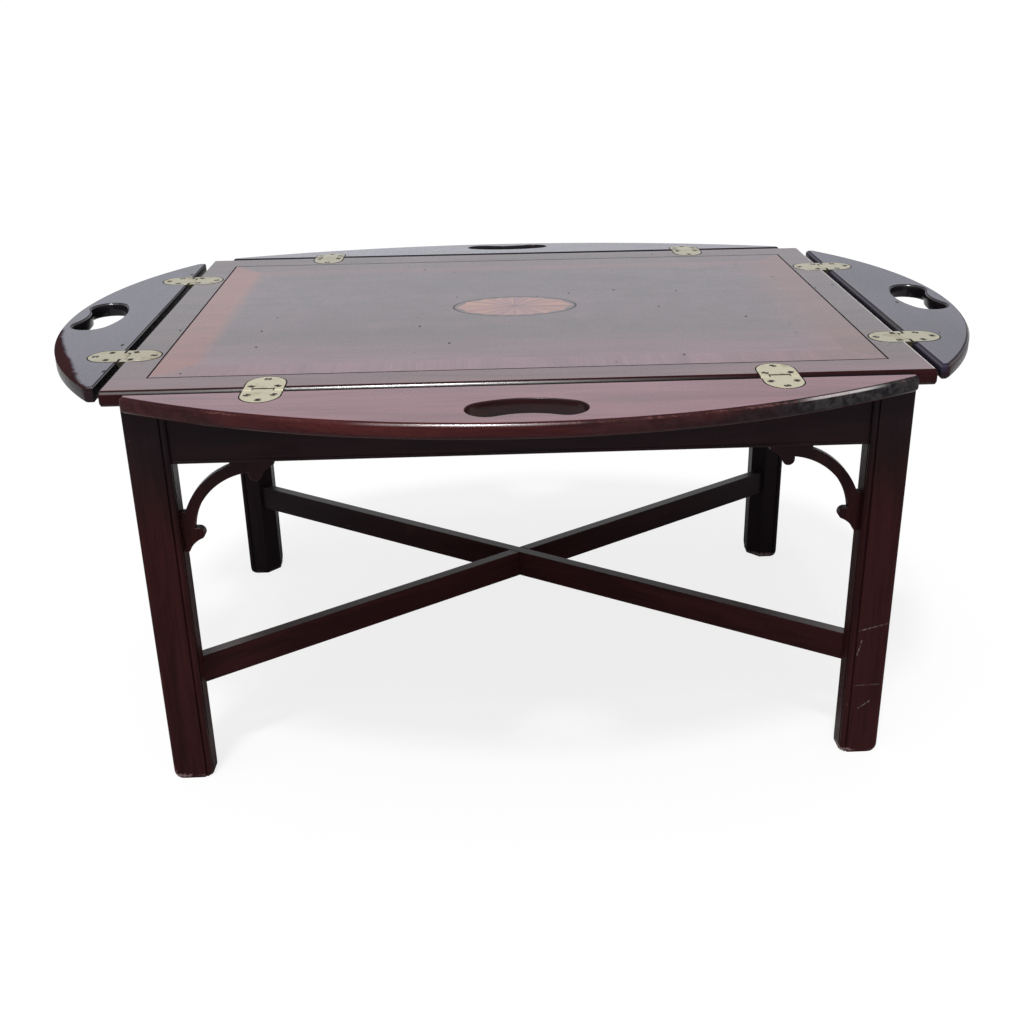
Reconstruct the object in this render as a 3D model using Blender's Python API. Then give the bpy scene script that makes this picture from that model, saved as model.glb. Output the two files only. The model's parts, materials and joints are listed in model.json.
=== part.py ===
"""Butler's tray table: a lift-off tray with four folding leaves on a low stand.

Metres, +Z up. The origin is on the floor under the middle of the tray, the front
is -Y and the long side runs along X. Every piece is a closed solid of its own.
"""

import math

import bmesh
import bpy
from mathutils import Matrix, Vector

# Space kept between pieces that touch, and the distance at which points are one
FIT = 0.0003
WELD = 0.00002

# Tray
TABLE_HEIGHT = 0.450
TRAY_LENGTH = 0.800
TRAY_DEPTH = 0.542
TRAY_THICKNESS = 0.016
TRAY_CORNER = 0.003
TRAY_EASE = 0.0025

# Inlay in the tray, laid in one shallow recess
VENEER = 0.0012
INLAY_MARGIN_X = 0.036
INLAY_MARGIN_Y = 0.038
STRING_WIDTH = 0.0018
BAND_WIDTH = 0.033
FAN_LENGTH = 0.144
FAN_DEPTH = 0.085

# Battens under the tray that sit inside the stand
BATTEN_SPACING = 0.420
BATTEN_WIDTH = 0.032
BATTEN_THICKNESS = 0.012
BATTEN_PLAY = 0.0015

# Folding leaves
LEAF_THICKNESS = 0.016
LEAF_GAP = 0.008
LEAF_EASE = 0.004
LEAF_CORNER = 0.006
LONG_LEAF_LENGTH = 0.752
LONG_LEAF_WIDTH = 0.105
LONG_LEAF_END = 0.009
SHORT_LEAF_LENGTH = 0.510
SHORT_LEAF_WIDTH = 0.098
SHORT_LEAF_END = 0.009

# Degrees that the back leaf hangs below level on its slack hinges
BACK_LEAF_SAG = 5.2

# Hand holes: bent slots with their hollow side to the rim
HOLE_WIDTH = 0.039
HOLE_CHORD = 0.072
HOLE_BEND = 0.0075
HOLE_SETBACK = 0.0595

# Hinges with three knuckles, let in flush with the top
LONG_HINGE_SPACING = 0.489
SHORT_HINGE_SPACING = 0.317
HINGE_LENGTH = 0.0736
HINGE_WIDTH = 0.0374
HINGE_END = 0.020
PLATE_THICKNESS = 0.0024
KNUCKLE_RADIUS = 0.0034
KNUCKLE_WIDTH = 0.0198
KNUCKLE_CLEARANCE = 0.0004
PIN_RADIUS = 0.0016
SCREW_HOLE_RADIUS = 0.0021
END_SCREW_REACH = 0.0298
TRAY_SCREW_REACH = 0.0088
LEAF_SCREW_REACH = 0.0160
SCREW_SPACING = 0.0248

# Legs: square, chamfered inside, with a corner bead on both inner arrises
LEG_SIZE = 0.041
LEG_INSET = 0.014
LEG_CHAMFER = 0.016
LEG_CORNER = 0.0020
LEG_BEAD_RADIUS = 0.0033
LEG_QUIRK_WIDTH = 0.0007
LEG_QUIRK_DEPTH = 0.0020
FOOT_EASE = 0.0015

# Aprons with a bead along the lower edge, tenoned into the legs
APRON_HEIGHT = 0.067
APRON_THICKNESS = 0.019
APRON_SETBACK = 0.005
APRON_BEAD_RADIUS = 0.0019
APRON_QUIRK_WIDTH = 0.0007
APRON_QUIRK_DEPTH = 0.0012
APRON_TENON_LENGTH = 0.014
APRON_TENON_THICKNESS = 0.008
APRON_TENON_SHOULDER = 0.010

# Corner blocks glued across the corners of the stand
BLOCK_WIDTH = 0.018
BLOCK_HEIGHT = 0.045
BLOCK_DROP = 0.006

# Fretted brackets under the aprons, the same about their own diagonal
BRACKET_REACH = 0.0975
BRACKET_THICKNESS = 0.010
BRACKET_SETBACK = 0.010
RING_CENTRE = 0.080
RING_RADIUS = 0.068
RING_BAND = 0.0115
PAD_START = 0.054
KNOB_REACH = 0.0155
KNOB_DROP = 0.078
KNOB_RADIUS = 0.0063
KNOB_SWEEP = 140
TAIL_END = 0.0045
TAIL_BOW = 0.0022

# Crossed stretchers, halved into each other and tenoned into the leg chamfers
STRETCHER_BOTTOM = 0.102
STRETCHER_HEIGHT = 0.0325
STRETCHER_WIDTH = 0.0125
STRETCHER_TENON_LENGTH = 0.012
STRETCHER_TENON_WIDTH = 0.007
STRETCHER_TENON_HEIGHT = 0.020
LAP_CUT_LENGTH = 0.050

# Facets along round edges
RIM_STEPS = 32
CAP_STEPS = 7
CORNER_STEPS = 3
FAN_STEPS = 36
BEAD_STEPS = 7
RING_STEPS = 9
EASE_STEPS = 1
KNUCKLE_STEPS = 11
PIN_SIDES = 10
SCREW_SIDES = 8
SMOOTH_ANGLE = 35

# Surface finishes: linear colour, roughness, metallic
STAND_WOOD = ((0.026, 0.011, 0.011), 0.34, 0.0)
LEAF_WOOD = ((0.070, 0.022, 0.020), 0.26, 0.0)
TRAY_WOOD = ((0.075, 0.040, 0.034), 0.30, 0.0)
FIELD_VENEER = ((0.072, 0.044, 0.040), 0.30, 0.0)
BAND_VENEER = ((0.160, 0.060, 0.045), 0.30, 0.0)
STRING_EBONY = ((0.010, 0.008, 0.008), 0.40, 0.0)
FAN_SATINWOOD = ((0.440, 0.230, 0.130), 0.32, 0.0)
HIDDEN_WOOD = ((0.210, 0.130, 0.075), 0.60, 0.0)
BRASS = ((0.560, 0.500, 0.300), 0.38, 1.0)
PIN_BRASS = ((0.360, 0.300, 0.160), 0.45, 1.0)

# Sizes that follow from those above
TRAY_BOTTOM = TABLE_HEIGHT - TRAY_THICKNESS
STAND_TOP = TRAY_BOTTOM - FIT
STAND_X = TRAY_LENGTH / 2 - LEG_INSET
STAND_Y = TRAY_DEPTH / 2 - LEG_INSET
APRON_BOTTOM = STAND_TOP - APRON_HEIGHT
APRON_BACK = APRON_SETBACK + APRON_THICKNESS
CHAMFER_SUM = 2 * LEG_SIZE - LEG_CHAMFER
PIN_BORE = PIN_RADIUS + FIT
PLATE_EDGE = KNUCKLE_RADIUS + KNUCKLE_CLEARANCE

# Lays a section drawn in the plan upright, with its length along X
UPRIGHT = Matrix(((0, 0, 1, 0), (1, 0, 0, 0), (0, 1, 0, 0), (0, 0, 0, 1)))

# Name, turn about Z that brings local +Y outwards, and names of the -X and +X ends
LONG_SIDES = (("front", 180, ("right", "left")), ("back", 0, ("left", "right")))
SHORT_SIDES = (("left", 90, ("front", "back")), ("right", -90, ("back", "front")))


def clear_scene():
    """Remove what the start-up file holds."""
    for item in list(bpy.data.objects):
        bpy.data.objects.remove(item, do_unlink=True)


def finish_material(name, finish):
    """A plain surface with one colour, roughness and metallic value."""
    colour, roughness, metallic = finish
    material = bpy.data.materials.new(name)
    material.use_nodes = True
    shader = material.node_tree.nodes["Principled BSDF"]
    shader.inputs["Base Color"].default_value = (*colour, 1.0)
    shader.inputs["Roughness"].default_value = roughness
    shader.inputs["Metallic"].default_value = metallic
    return material


def arc(centre, radius, start, finish, steps):
    """Points along an arc, both ends included, with angles in degrees."""
    points = []
    for step in range(steps + 1):
        angle = math.radians(start + (finish - start) * step / steps)
        points.append((centre[0] + radius * math.cos(angle), centre[1] + radius * math.sin(angle)))
    return points


def bowed(start, finish, bow, steps):
    """Points along a shallow arc that swells by bow to the left of the way from start to finish."""
    start = Vector(start)
    finish = Vector(finish)
    half = (finish - start).length / 2
    radius = (half ** 2 + bow ** 2) / (2 * bow)
    along = (finish - start).normalized()
    left = Vector((-along.y, along.x))
    centre = (start + finish) / 2 + left * (bow - radius)
    sweep = math.asin(half / abs(radius))
    points = []
    for step in range(steps + 1):
        angle = sweep * (2 * step / steps - 1)
        points.append(centre + along * abs(radius) * math.sin(angle) + left * radius * math.cos(angle))
    return points


def rounded(before, corner, after, radius):
    """Points of the arc that rounds one corner of an outline."""
    corner = Vector(corner)
    back = (Vector(before) - corner).normalized()
    ahead = (Vector(after) - corner).normalized()
    half_angle = back.angle(ahead) / 2
    centre = corner + (back + ahead).normalized() * radius / math.sin(half_angle)
    first = corner + back * radius / math.tan(half_angle) - centre
    last = corner + ahead * radius / math.tan(half_angle) - centre
    turns = [first.slerp(last, step / CORNER_STEPS) for step in range(CORNER_STEPS + 1)]
    return [centre + turn * radius for turn in turns]


def rectangle(half_x, half_y):
    """Outline of a rectangle round the origin."""
    return [(-half_x, -half_y), (half_x, -half_y), (half_x, half_y), (-half_x, half_y)]


def ellipse(half_x, half_y, steps):
    """Outline of an ellipse round the origin."""
    return [(x * half_x, y * half_y) for x, y in arc((0, 0), 1, 0, 360, steps)]


def outline(*runs):
    """One closed outline from runs of points, without repeated points."""
    points = []
    for run in runs:
        for point in run:
            if not points or (Vector(point) - points[-1]).length > WELD:
                points.append(Vector(point))
    if (points[0] - points[-1]).length <= WELD:
        points.pop()
    return points


def slab(outlines, low, high, ease=0.0, ease_steps=EASE_STEPS):
    """A solid between two heights over a rim outline, with holes and, if asked, eased edges."""
    curve = bpy.data.curves.new("slab", "CURVE")
    curve.dimensions = "2D"
    curve.fill_mode = "BOTH"
    curve.extrude = (high - low) / 2 - ease
    curve.bevel_depth = ease
    curve.bevel_resolution = ease_steps
    curve.offset = -ease
    for points in outlines:
        spline = curve.splines.new("POLY")
        spline.points.add(len(points) - 1)
        for place, point in zip(spline.points, points):
            place.co = (point[0], point[1], 0, 1)
        spline.use_cyclic_u = True
    shape = bpy.data.objects.new("slab", curve)
    mesh = evaluated_mesh(shape)
    bpy.data.curves.remove(curve)
    bm = bmesh.new()
    bm.from_mesh(mesh)
    bmesh.ops.remove_doubles(bm, verts=bm.verts, dist=WELD)
    bmesh.ops.translate(bm, verts=bm.verts, vec=(0, 0, (high + low) / 2))
    bm.to_mesh(mesh)
    bm.free()
    return mesh


def box(size, matrix):
    """A box of the given size, moved by a matrix."""
    mesh = bpy.data.meshes.new("box")
    bm = bmesh.new()
    bmesh.ops.create_cube(bm, size=1, matrix=matrix @ Matrix.Diagonal((*size, 1)))
    bm.to_mesh(mesh)
    bm.free()
    return mesh


def rod(radius, length, sides):
    """A round bar along X."""
    mesh = bpy.data.meshes.new("rod")
    matrix = Matrix.Rotation(math.pi / 2, 4, "Y")
    bm = bmesh.new()
    bmesh.ops.create_cone(bm, cap_ends=True, segments=sides, radius1=radius, radius2=radius,
                          depth=length, matrix=matrix)
    bm.to_mesh(mesh)
    bm.free()
    return mesh


def evaluated_mesh(shape):
    """The mesh of a loose object after its modifiers; the object is then removed."""
    bpy.context.scene.collection.objects.link(shape)
    bpy.context.view_layer.update()
    seen = shape.evaluated_get(bpy.context.evaluated_depsgraph_get())
    mesh = bpy.data.meshes.new_from_object(seen)
    bpy.data.objects.remove(shape, do_unlink=True)
    return mesh


def combine(mesh, operation, tools):
    """The mesh joined with the tool meshes, or cut by them, one after another."""
    shape = bpy.data.objects.new("work", mesh)
    helpers = []
    for tool in tools:
        helper = bpy.data.objects.new("tool", tool)
        bpy.context.scene.collection.objects.link(helper)
        helpers.append(helper)
        modifier = shape.modifiers.new("combine", "BOOLEAN")
        modifier.operation = operation
        modifier.solver = "EXACT"
        modifier.object = helper
    result = evaluated_mesh(shape)
    for helper in helpers:
        bpy.data.objects.remove(helper, do_unlink=True)
    return result


def moved(mesh, matrix):
    """A moved copy of a mesh."""
    copy = mesh.copy()
    copy.transform(matrix)
    return copy


def side_matrix(half_reach, turn, height):
    """Frame at the middle of one side of the table, local +Y outwards."""
    return (Matrix.Rotation(math.radians(turn), 4, "Z")
            @ Matrix.Translation((0, half_reach, height)))


class Table:
    """The collection, the materials and the frames that the pieces are placed in."""

    def __init__(self, name):
        self.collection = bpy.data.collections.new(name)
        bpy.context.scene.collection.children.link(self.collection)
        self.materials = {}

    def frame(self, name, matrix, parent=None):
        """An empty that pieces hang from, on a joint's axis where they move."""
        empty = bpy.data.objects.new(name, None)
        self.collection.objects.link(empty)
        empty.parent = parent
        empty.matrix_basis = matrix
        return empty

    def piece(self, name, mesh, finish, parent, matrix=Matrix.Identity(4)):
        """One named piece of the table."""
        if finish not in self.materials:
            self.materials[finish] = finish_material(f"finish {len(self.materials) + 1}", finish)
        mesh.materials.clear()
        mesh.materials.append(self.materials[finish])
        mesh.shade_smooth()
        mesh.set_sharp_from_angle(angle=math.radians(SMOOTH_ANGLE))
        item = bpy.data.objects.new(name, mesh)
        self.collection.objects.link(item)
        item.parent = parent
        item.matrix_basis = matrix
        return item


def apron_tenon(half_length, growth):
    """The bar of the apron tenons from leg to leg, in the apron's own side frame."""
    size = (2 * (half_length + APRON_TENON_LENGTH + growth),
            APRON_TENON_THICKNESS + 2 * growth,
            APRON_HEIGHT - 2 * APRON_TENON_SHOULDER + 2 * growth)
    middle = (0, -APRON_SETBACK - APRON_THICKNESS / 2, APRON_BOTTOM + APRON_HEIGHT / 2)
    return box(size, Matrix.Translation(middle))


def apron_profile():
    """Section of an apron: outwards along the first axis, up along the second."""
    front = -APRON_SETBACK
    radius = APRON_BEAD_RADIUS
    lap = radius - APRON_QUIRK_DEPTH
    start = math.degrees(math.acos(lap / radius))
    quirk_top = APRON_BOTTOM + radius * (1 + math.sin(math.radians(start))) + APRON_QUIRK_WIDTH
    bead = arc((front - radius, APRON_BOTTOM + radius), radius, start, -90, BEAD_STEPS)
    return outline([(-APRON_BACK, APRON_BOTTOM), (-APRON_BACK, STAND_TOP), (front, STAND_TOP),
                    (front, quirk_top), (front - APRON_QUIRK_DEPTH, quirk_top)], bead)


def apron_mesh(half_length):
    """An apron with a beaded lower edge and a tenon at each end, in its side frame."""
    board = slab([apron_profile()], -half_length, half_length)
    return combine(moved(board, UPRIGHT), "UNION", [apron_tenon(half_length, 0)])


def leg_outline(sign_x, sign_y):
    """Section of a leg, measured inwards from its outer corner."""
    radius = LEG_BEAD_RADIUS
    lap = radius - LEG_QUIRK_DEPTH
    start = math.degrees(math.asin(lap / radius))
    edge = LEG_SIZE - radius - radius * math.cos(math.radians(start)) - LEG_QUIRK_WIDTH
    bead = arc((LEG_SIZE - radius, radius), radius, 180 + start, 450 - start, BEAD_STEPS)
    inner = LEG_SIZE - edge
    half = [*rounded((0, edge), (0, 0), (edge, 0), LEG_CORNER)[CORNER_STEPS // 2 + 1:],
            (edge, 0), (edge, LEG_QUIRK_DEPTH), *bead,
            (LEG_SIZE - LEG_QUIRK_DEPTH, inner), (LEG_SIZE, inner),
            (LEG_SIZE, LEG_SIZE - LEG_CHAMFER)]
    points = [*half, *((y, x) for x, y in reversed(half))]
    return outline([(-sign_x * x, -sign_y * y) for x, y in points])


def stretcher_angle():
    """Angle of the stretchers from the long side, from chamfer middle to chamfer middle."""
    inset = LEG_SIZE - LEG_CHAMFER / 2
    return math.atan2(STAND_Y - inset, STAND_X - inset)


def stretcher_reach(across):
    """How far a stretcher runs from the middle to the chamfer, at a distance from its own line."""
    angle = stretcher_angle()
    chamfer = STAND_X + STAND_Y - CHAMFER_SUM - FIT * math.sqrt(2)
    slant = math.cos(angle) - math.sin(angle)
    return (chamfer - across * slant) / (math.cos(angle) + math.sin(angle))


def stretcher_tenon(growth):
    """The bar of the stretcher tenons from leg to leg, along X."""
    size = (2 * (stretcher_reach(0) + STRETCHER_TENON_LENGTH + growth),
            STRETCHER_TENON_WIDTH + 2 * growth,
            STRETCHER_TENON_HEIGHT + 2 * growth)
    return box(size, Matrix.Translation((0, 0, STRETCHER_BOTTOM + STRETCHER_HEIGHT / 2)))


def stretcher_mesh(hand, over):
    """One stretcher along X with slanted shoulders; hand is its turn, over takes its lower half away."""
    half = STRETCHER_WIDTH / 2
    near = stretcher_reach(half)
    far = stretcher_reach(-half)
    plan = [(near, hand * half), (far, -hand * half), (-near, -hand * half), (-far, hand * half)]
    bar = slab([plan], STRETCHER_BOTTOM, STRETCHER_BOTTOM + STRETCHER_HEIGHT)
    bar = combine(bar, "UNION", [stretcher_tenon(0)])
    lap_height = STRETCHER_HEIGHT + FIT
    lap_middle = STRETCHER_BOTTOM if over else STRETCHER_BOTTOM + STRETCHER_HEIGHT
    turn = Matrix.Rotation(-2 * hand * stretcher_angle(), 4, "Z")
    lap = box((LAP_CUT_LENGTH, STRETCHER_WIDTH + 2 * FIT, lap_height),
              turn @ Matrix.Translation((0, 0, lap_middle)))
    return combine(bar, "DIFFERENCE", [lap])


def stretcher_matrix(hand):
    """Turn that lays a stretcher on its diagonal."""
    return Matrix.Rotation(hand * stretcher_angle(), 4, "Z")


def build_stand(table):
    """Legs, aprons, corner blocks, brackets and stretchers."""
    stand = table.frame("stand", Matrix.Identity(4))
    apron_half_x = STAND_X - LEG_SIZE - FIT
    apron_half_y = STAND_Y - LEG_SIZE - FIT
    rows = [(side, apron_half_x, STAND_Y) for side in LONG_SIDES]
    rows += [(side, apron_half_y, STAND_X) for side in SHORT_SIDES]
    mortises = {}
    for (name, turn, ends), half_length, reach in rows:
        frame = side_matrix(reach, turn, 0)
        table.piece(f"apron_{name}", apron_mesh(half_length), STAND_WOOD, stand, frame)
        mortises[name] = moved(apron_tenon(half_length, FIT), frame)
        for end, sign in zip(ends, (-1, 1)):
            build_bracket(table, stand, f"bracket_{name}_{end}", frame, sign, half_length)
    for hand, name in ((1, "under"), (-1, "over")):
        matrix = stretcher_matrix(hand)
        bar = stretcher_mesh(hand, name == "over")
        table.piece(f"stretcher_{name}", bar, STAND_WOOD, stand, matrix)
        mortises[hand] = moved(stretcher_tenon(FIT), matrix)
    for y_name, sign_y in (("front", -1), ("back", 1)):
        for x_name, sign_x in (("left", -1), ("right", 1)):
            corner = Matrix.Translation((sign_x * STAND_X, sign_y * STAND_Y, 0))
            tools = [mortises[key] for key in (x_name, y_name, sign_x * sign_y)]
            post = moved(slab([leg_outline(sign_x, sign_y)], 0, STAND_TOP, FOOT_EASE, 0), corner)
            post = moved(combine(post, "DIFFERENCE", tools), corner.inverted())
            table.piece(f"leg_{y_name}_{x_name}", post, STAND_WOOD, stand, corner)
            block = slab([block_outline(sign_x, sign_y)], STAND_TOP - BLOCK_DROP - BLOCK_HEIGHT,
                         STAND_TOP - BLOCK_DROP)
            table.piece(f"corner_block_{y_name}_{x_name}", block, HIDDEN_WOOD, stand, corner)


def block_outline(sign_x, sign_y):
    """Plan of a corner block between two aprons and the leg's chamfer."""
    wall = APRON_BACK + FIT
    near = CHAMFER_SUM + FIT * math.sqrt(2) - wall
    far = near + BLOCK_WIDTH * math.sqrt(2)
    points = [(wall, near), (near, wall), (far, wall), (wall, far)]
    return [(-sign_x * x, -sign_y * y) for x, y in points]


def bracket_outline():
    """Quarter ring with a knob and a hollow tail at each end, from the leg and down from the apron."""
    outer = RING_RADIUS + RING_BAND
    centre = (RING_CENTRE, RING_CENTRE)
    pad_angle = math.degrees(math.asin((RING_CENTRE - PAD_START) / outer))
    knob_top = KNOB_DROP - KNOB_RADIUS
    knob_angle = math.degrees(math.asin((RING_CENTRE - knob_top) / RING_RADIUS))
    ring_out = arc(centre, outer, 225, 180 + pad_angle, RING_STEPS)
    knob = arc((KNOB_REACH, KNOB_DROP), KNOB_RADIUS, KNOB_SWEEP - 90, -90, CAP_STEPS)
    tail = bowed((TAIL_END, BRACKET_REACH), knob[0], TAIL_BOW, CORNER_STEPS)
    ring_in = arc(centre, RING_RADIUS, 180 + knob_angle, 225, RING_STEPS)
    half = outline(ring_out, [(0, PAD_START), (0, BRACKET_REACH)], tail, knob, ring_in)
    other = [(y, x) for x, y in reversed(half)]
    return outline(half, other)


def build_bracket(table, stand, name, frame, sign, half_length):
    """A bracket in the angle of one end of an apron and its leg."""
    points = [(-sign * x, -y) for x, y in bracket_outline()]
    mesh = slab([points], -BRACKET_THICKNESS / 2, BRACKET_THICKNESS / 2)
    seat = Matrix.Translation((sign * half_length, -BRACKET_SETBACK - BRACKET_THICKNESS / 2,
                               APRON_BOTTOM - FIT))
    upright = Matrix.Rotation(math.pi / 2, 4, "X")
    table.piece(name, mesh, STAND_WOOD, stand, frame @ seat @ upright)


def hinge_recess(growth):
    """The room for a whole hinge in the top, round its middle and up past the surface."""
    half = HINGE_WIDTH / 2 + growth
    plate_end = hinge_end(half, HINGE_LENGTH / 2 + growth, HINGE_END + growth)
    points = outline(plate_end, [(-x, -y) for x, y in plate_end])
    return slab([points], KNUCKLE_RADIUS - PLATE_THICKNESS - growth, KNUCKLE_RADIUS + PLATE_THICKNESS)


def hinge_end(half, length, depth):
    """The rounded end of a hinge plate, from +X to -X."""
    return [(x * half, length - depth + y * depth) for x, y in arc((0, 0), 1, 0, 180, 2 * CAP_STEPS)]


def screw_holes(pair_reach):
    """Outlines of the three screw holes of a plate."""
    places = [(0, END_SCREW_REACH), (-SCREW_SPACING / 2, pair_reach), (SCREW_SPACING / 2, pair_reach)]
    return [outline(arc(place, SCREW_HOLE_RADIUS, 0, 360, SCREW_SIDES)) for place in places]


def plate_section():
    """Section of a rolled hinge plate: out from the axis along the first axis, up along the second."""
    under = KNUCKLE_RADIUS - PLATE_THICKNESS
    start = math.degrees(math.asin(under / KNUCKLE_RADIUS))
    roll = arc((0, 0), KNUCKLE_RADIUS, 90, 360 + start, KNUCKLE_STEPS)
    return outline(roll, [(HINGE_LENGTH, under), (HINGE_LENGTH, KNUCKLE_RADIUS)])


def plate_mesh(tabs, pair_reach):
    """A hinge plate along +Y with its axis on X, cut to its rounded plan, tabs and screw holes."""
    half = HINGE_WIDTH / 2
    strap = moved(slab([plate_section()], -HINGE_WIDTH, HINGE_WIDTH), UPRIGHT)
    rim = outline(tabs, hinge_end(half, HINGE_LENGTH / 2, HINGE_END))
    plan = slab([rim, *screw_holes(pair_reach)], -HINGE_WIDTH, HINGE_WIDTH)
    plate = combine(strap, "INTERSECT", [plan])
    return combine(plate, "DIFFERENCE", [rod(PIN_BORE, 2 * HINGE_WIDTH, PIN_SIDES)])


def leaf_plate_mesh():
    """Hinge plate on the leaf, with the middle knuckle."""
    half = HINGE_WIDTH / 2
    tab = KNUCKLE_WIDTH / 2 - KNUCKLE_CLEARANCE / 2
    tabs = [(-half, PLATE_EDGE), (-tab, PLATE_EDGE), (-tab, -PLATE_EDGE),
            (tab, -PLATE_EDGE), (tab, PLATE_EDGE), (half, PLATE_EDGE)]
    return plate_mesh(tabs, LEAF_SCREW_REACH)


def tray_plate_mesh():
    """Hinge plate on the tray, with the two outer knuckles, turned to lie along -Y."""
    half = HINGE_WIDTH / 2
    tab = KNUCKLE_WIDTH / 2 + KNUCKLE_CLEARANCE / 2
    tabs = [(-half, -PLATE_EDGE), (-tab, -PLATE_EDGE), (-tab, PLATE_EDGE),
            (tab, PLATE_EDGE), (tab, -PLATE_EDGE), (half, -PLATE_EDGE)]
    return moved(plate_mesh(tabs, TRAY_SCREW_REACH), Matrix.Rotation(math.pi, 4, "Z"))


def hand_hole():
    """A bent slot with round ends whose middle line bends away from the rim."""
    half = HOLE_WIDTH / 2
    chord = HOLE_CHORD / 2
    radius = (chord ** 2 + HOLE_BEND ** 2) / (2 * HOLE_BEND)
    lean = math.degrees(math.asin(chord / radius))
    middle = LEAF_GAP / 2 + HOLE_SETBACK
    centre = (0, middle + radius)
    lobe_height = middle + HOLE_BEND
    return outline(arc(centre, radius + half, -90 - lean, -90 + lean, CAP_STEPS),
                   arc((chord, lobe_height), half, -90 + lean, 90 + lean, CAP_STEPS),
                   arc(centre, radius - half, -90 + lean, -90 - lean, CAP_STEPS),
                   arc((-chord, lobe_height), half, 90 - lean, 270 - lean, CAP_STEPS))


def leaf_mesh(length, width, end, hinge_spacing):
    """A leaf with an arched rim, a hand hole and two hinge seats, joint edge along X."""
    half = length / 2
    joint = LEAF_GAP / 2
    rim = bowed((half, joint + end), (-half, joint + end), end - width, RIM_STEPS)
    first = rounded((half, joint), rim[0], rim[1], LEAF_CORNER)
    last = rounded(rim[-2], rim[-1], (-half, joint), LEAF_CORNER)
    edge = outline([(half, joint)], first, rim[1:-1], last, [(-half, joint)])
    board = slab([edge, hand_hole()], KNUCKLE_RADIUS - LEAF_THICKNESS, KNUCKLE_RADIUS, LEAF_EASE)
    seats = [moved(hinge_recess(FIT), Matrix.Translation((sign * hinge_spacing / 2, 0, 0)))
             for sign in (-1, 1)]
    return combine(board, "DIFFERENCE", seats)


def build_leaf(table, tray, side, reach, sizes, hinge_spacing, sag=0.0):
    """One leaf with its two hinges; the leaf and its plates hang from the hinge axis."""
    name, turn, ends = side
    place = side_matrix(reach + LEAF_GAP / 2, turn, TABLE_HEIGHT - KNUCKLE_RADIUS)
    axis = table.frame(f"axis_{name}", place @ Matrix.Rotation(math.radians(-sag), 4, "X"), tray)
    seat = table.frame(f"hinge_seat_{name}", place, tray)
    table.piece(f"leaf_{name}", leaf_mesh(*sizes, hinge_spacing), LEAF_WOOD, axis)
    for end, sign in zip(ends, (-1, 1)):
        spot = Matrix.Translation((sign * hinge_spacing / 2, 0, 0))
        hinge = f"hinge_{name}_{end}"
        table.piece(f"{hinge}_leaf_plate", leaf_plate_mesh(), BRASS, axis, spot)
        table.piece(f"{hinge}_tray_plate", tray_plate_mesh(), BRASS, seat, spot)
        pin = rod(PIN_RADIUS, HINGE_WIDTH, PIN_SIDES)
        table.piece(f"{hinge}_pin", pin, PIN_BRASS, seat, spot)
    return [place @ Matrix.Translation((sign * hinge_spacing / 2, 0, 0)) for sign in (-1, 1)]


def build_inlay(table, tray):
    """Stringing, crossbanding, field and fan, flush with the top of the tray."""
    low = TABLE_HEIGHT - VENEER
    half_x = TRAY_LENGTH / 2 - INLAY_MARGIN_X
    half_y = TRAY_DEPTH / 2 - INLAY_MARGIN_Y

    def ring(inset):
        return rectangle(half_x - inset, half_y - inset)

    band_out = STRING_WIDTH + FIT
    band_in = band_out + BAND_WIDTH
    fan = ellipse(FAN_LENGTH / 2, FAN_DEPTH / 2, FAN_STEPS)
    fan_room = ellipse(FAN_LENGTH / 2 + FIT, FAN_DEPTH / 2 + FIT, FAN_STEPS)
    string = slab([ring(0), ring(STRING_WIDTH)], low, TABLE_HEIGHT)
    band = slab([ring(band_out), ring(band_in)], low, TABLE_HEIGHT)
    field = slab([ring(band_in + FIT), outline(fan_room)], low, TABLE_HEIGHT)
    table.piece("stringing", string, STRING_EBONY, tray)
    table.piece("crossband", band, BAND_VENEER, tray)
    table.piece("field_veneer", field, FIELD_VENEER, tray)
    table.piece("fan_inlay", slab([outline(fan)], low, TABLE_HEIGHT), FAN_SATINWOOD, tray)
    return slab([ring(-FIT)], low - FIT, TABLE_HEIGHT + VENEER)


def build_tray(table):
    """Tray board, inlay, battens and the four leaves with their hinges."""
    tray = table.frame("tray", Matrix.Identity(4))
    recess = build_inlay(table, tray)
    long_sizes = (LONG_LEAF_LENGTH, LONG_LEAF_WIDTH, LONG_LEAF_END)
    short_sizes = (SHORT_LEAF_LENGTH, SHORT_LEAF_WIDTH, SHORT_LEAF_END)
    hinges = []
    for side, sag in zip(LONG_SIDES, (0.0, BACK_LEAF_SAG)):
        hinges += build_leaf(table, tray, side, TRAY_DEPTH / 2, long_sizes, LONG_HINGE_SPACING, sag)
    for side in SHORT_SIDES:
        hinges += build_leaf(table, tray, side, TRAY_LENGTH / 2, short_sizes, SHORT_HINGE_SPACING)
    corners = rectangle(TRAY_LENGTH / 2, TRAY_DEPTH / 2)
    rim = outline(*(rounded(corners[index - 1], corners[index], corners[index - 3], TRAY_CORNER)
                    for index in range(len(corners))))
    board = slab([rim], TRAY_BOTTOM, TABLE_HEIGHT, TRAY_EASE)
    seats = [moved(hinge_recess(FIT), matrix) for matrix in hinges]
    board = combine(board, "DIFFERENCE", [recess, *seats])
    table.piece("tray_board", board, TRAY_WOOD, tray)
    batten_length = 2 * (STAND_Y - APRON_BACK - BATTEN_PLAY)
    for name, sign in (("left", -1), ("right", 1)):
        middle = (sign * BATTEN_SPACING / 2, 0, TRAY_BOTTOM - FIT - BATTEN_THICKNESS / 2)
        batten = box((BATTEN_WIDTH, batten_length, BATTEN_THICKNESS), Matrix.Identity(4))
        table.piece(f"batten_{name}", batten, HIDDEN_WOOD, tray, Matrix.Translation(middle))


def main():
    clear_scene()
    table = Table("butlers_tray_table")
    build_stand(table)
    build_tray(table)


main()
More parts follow.
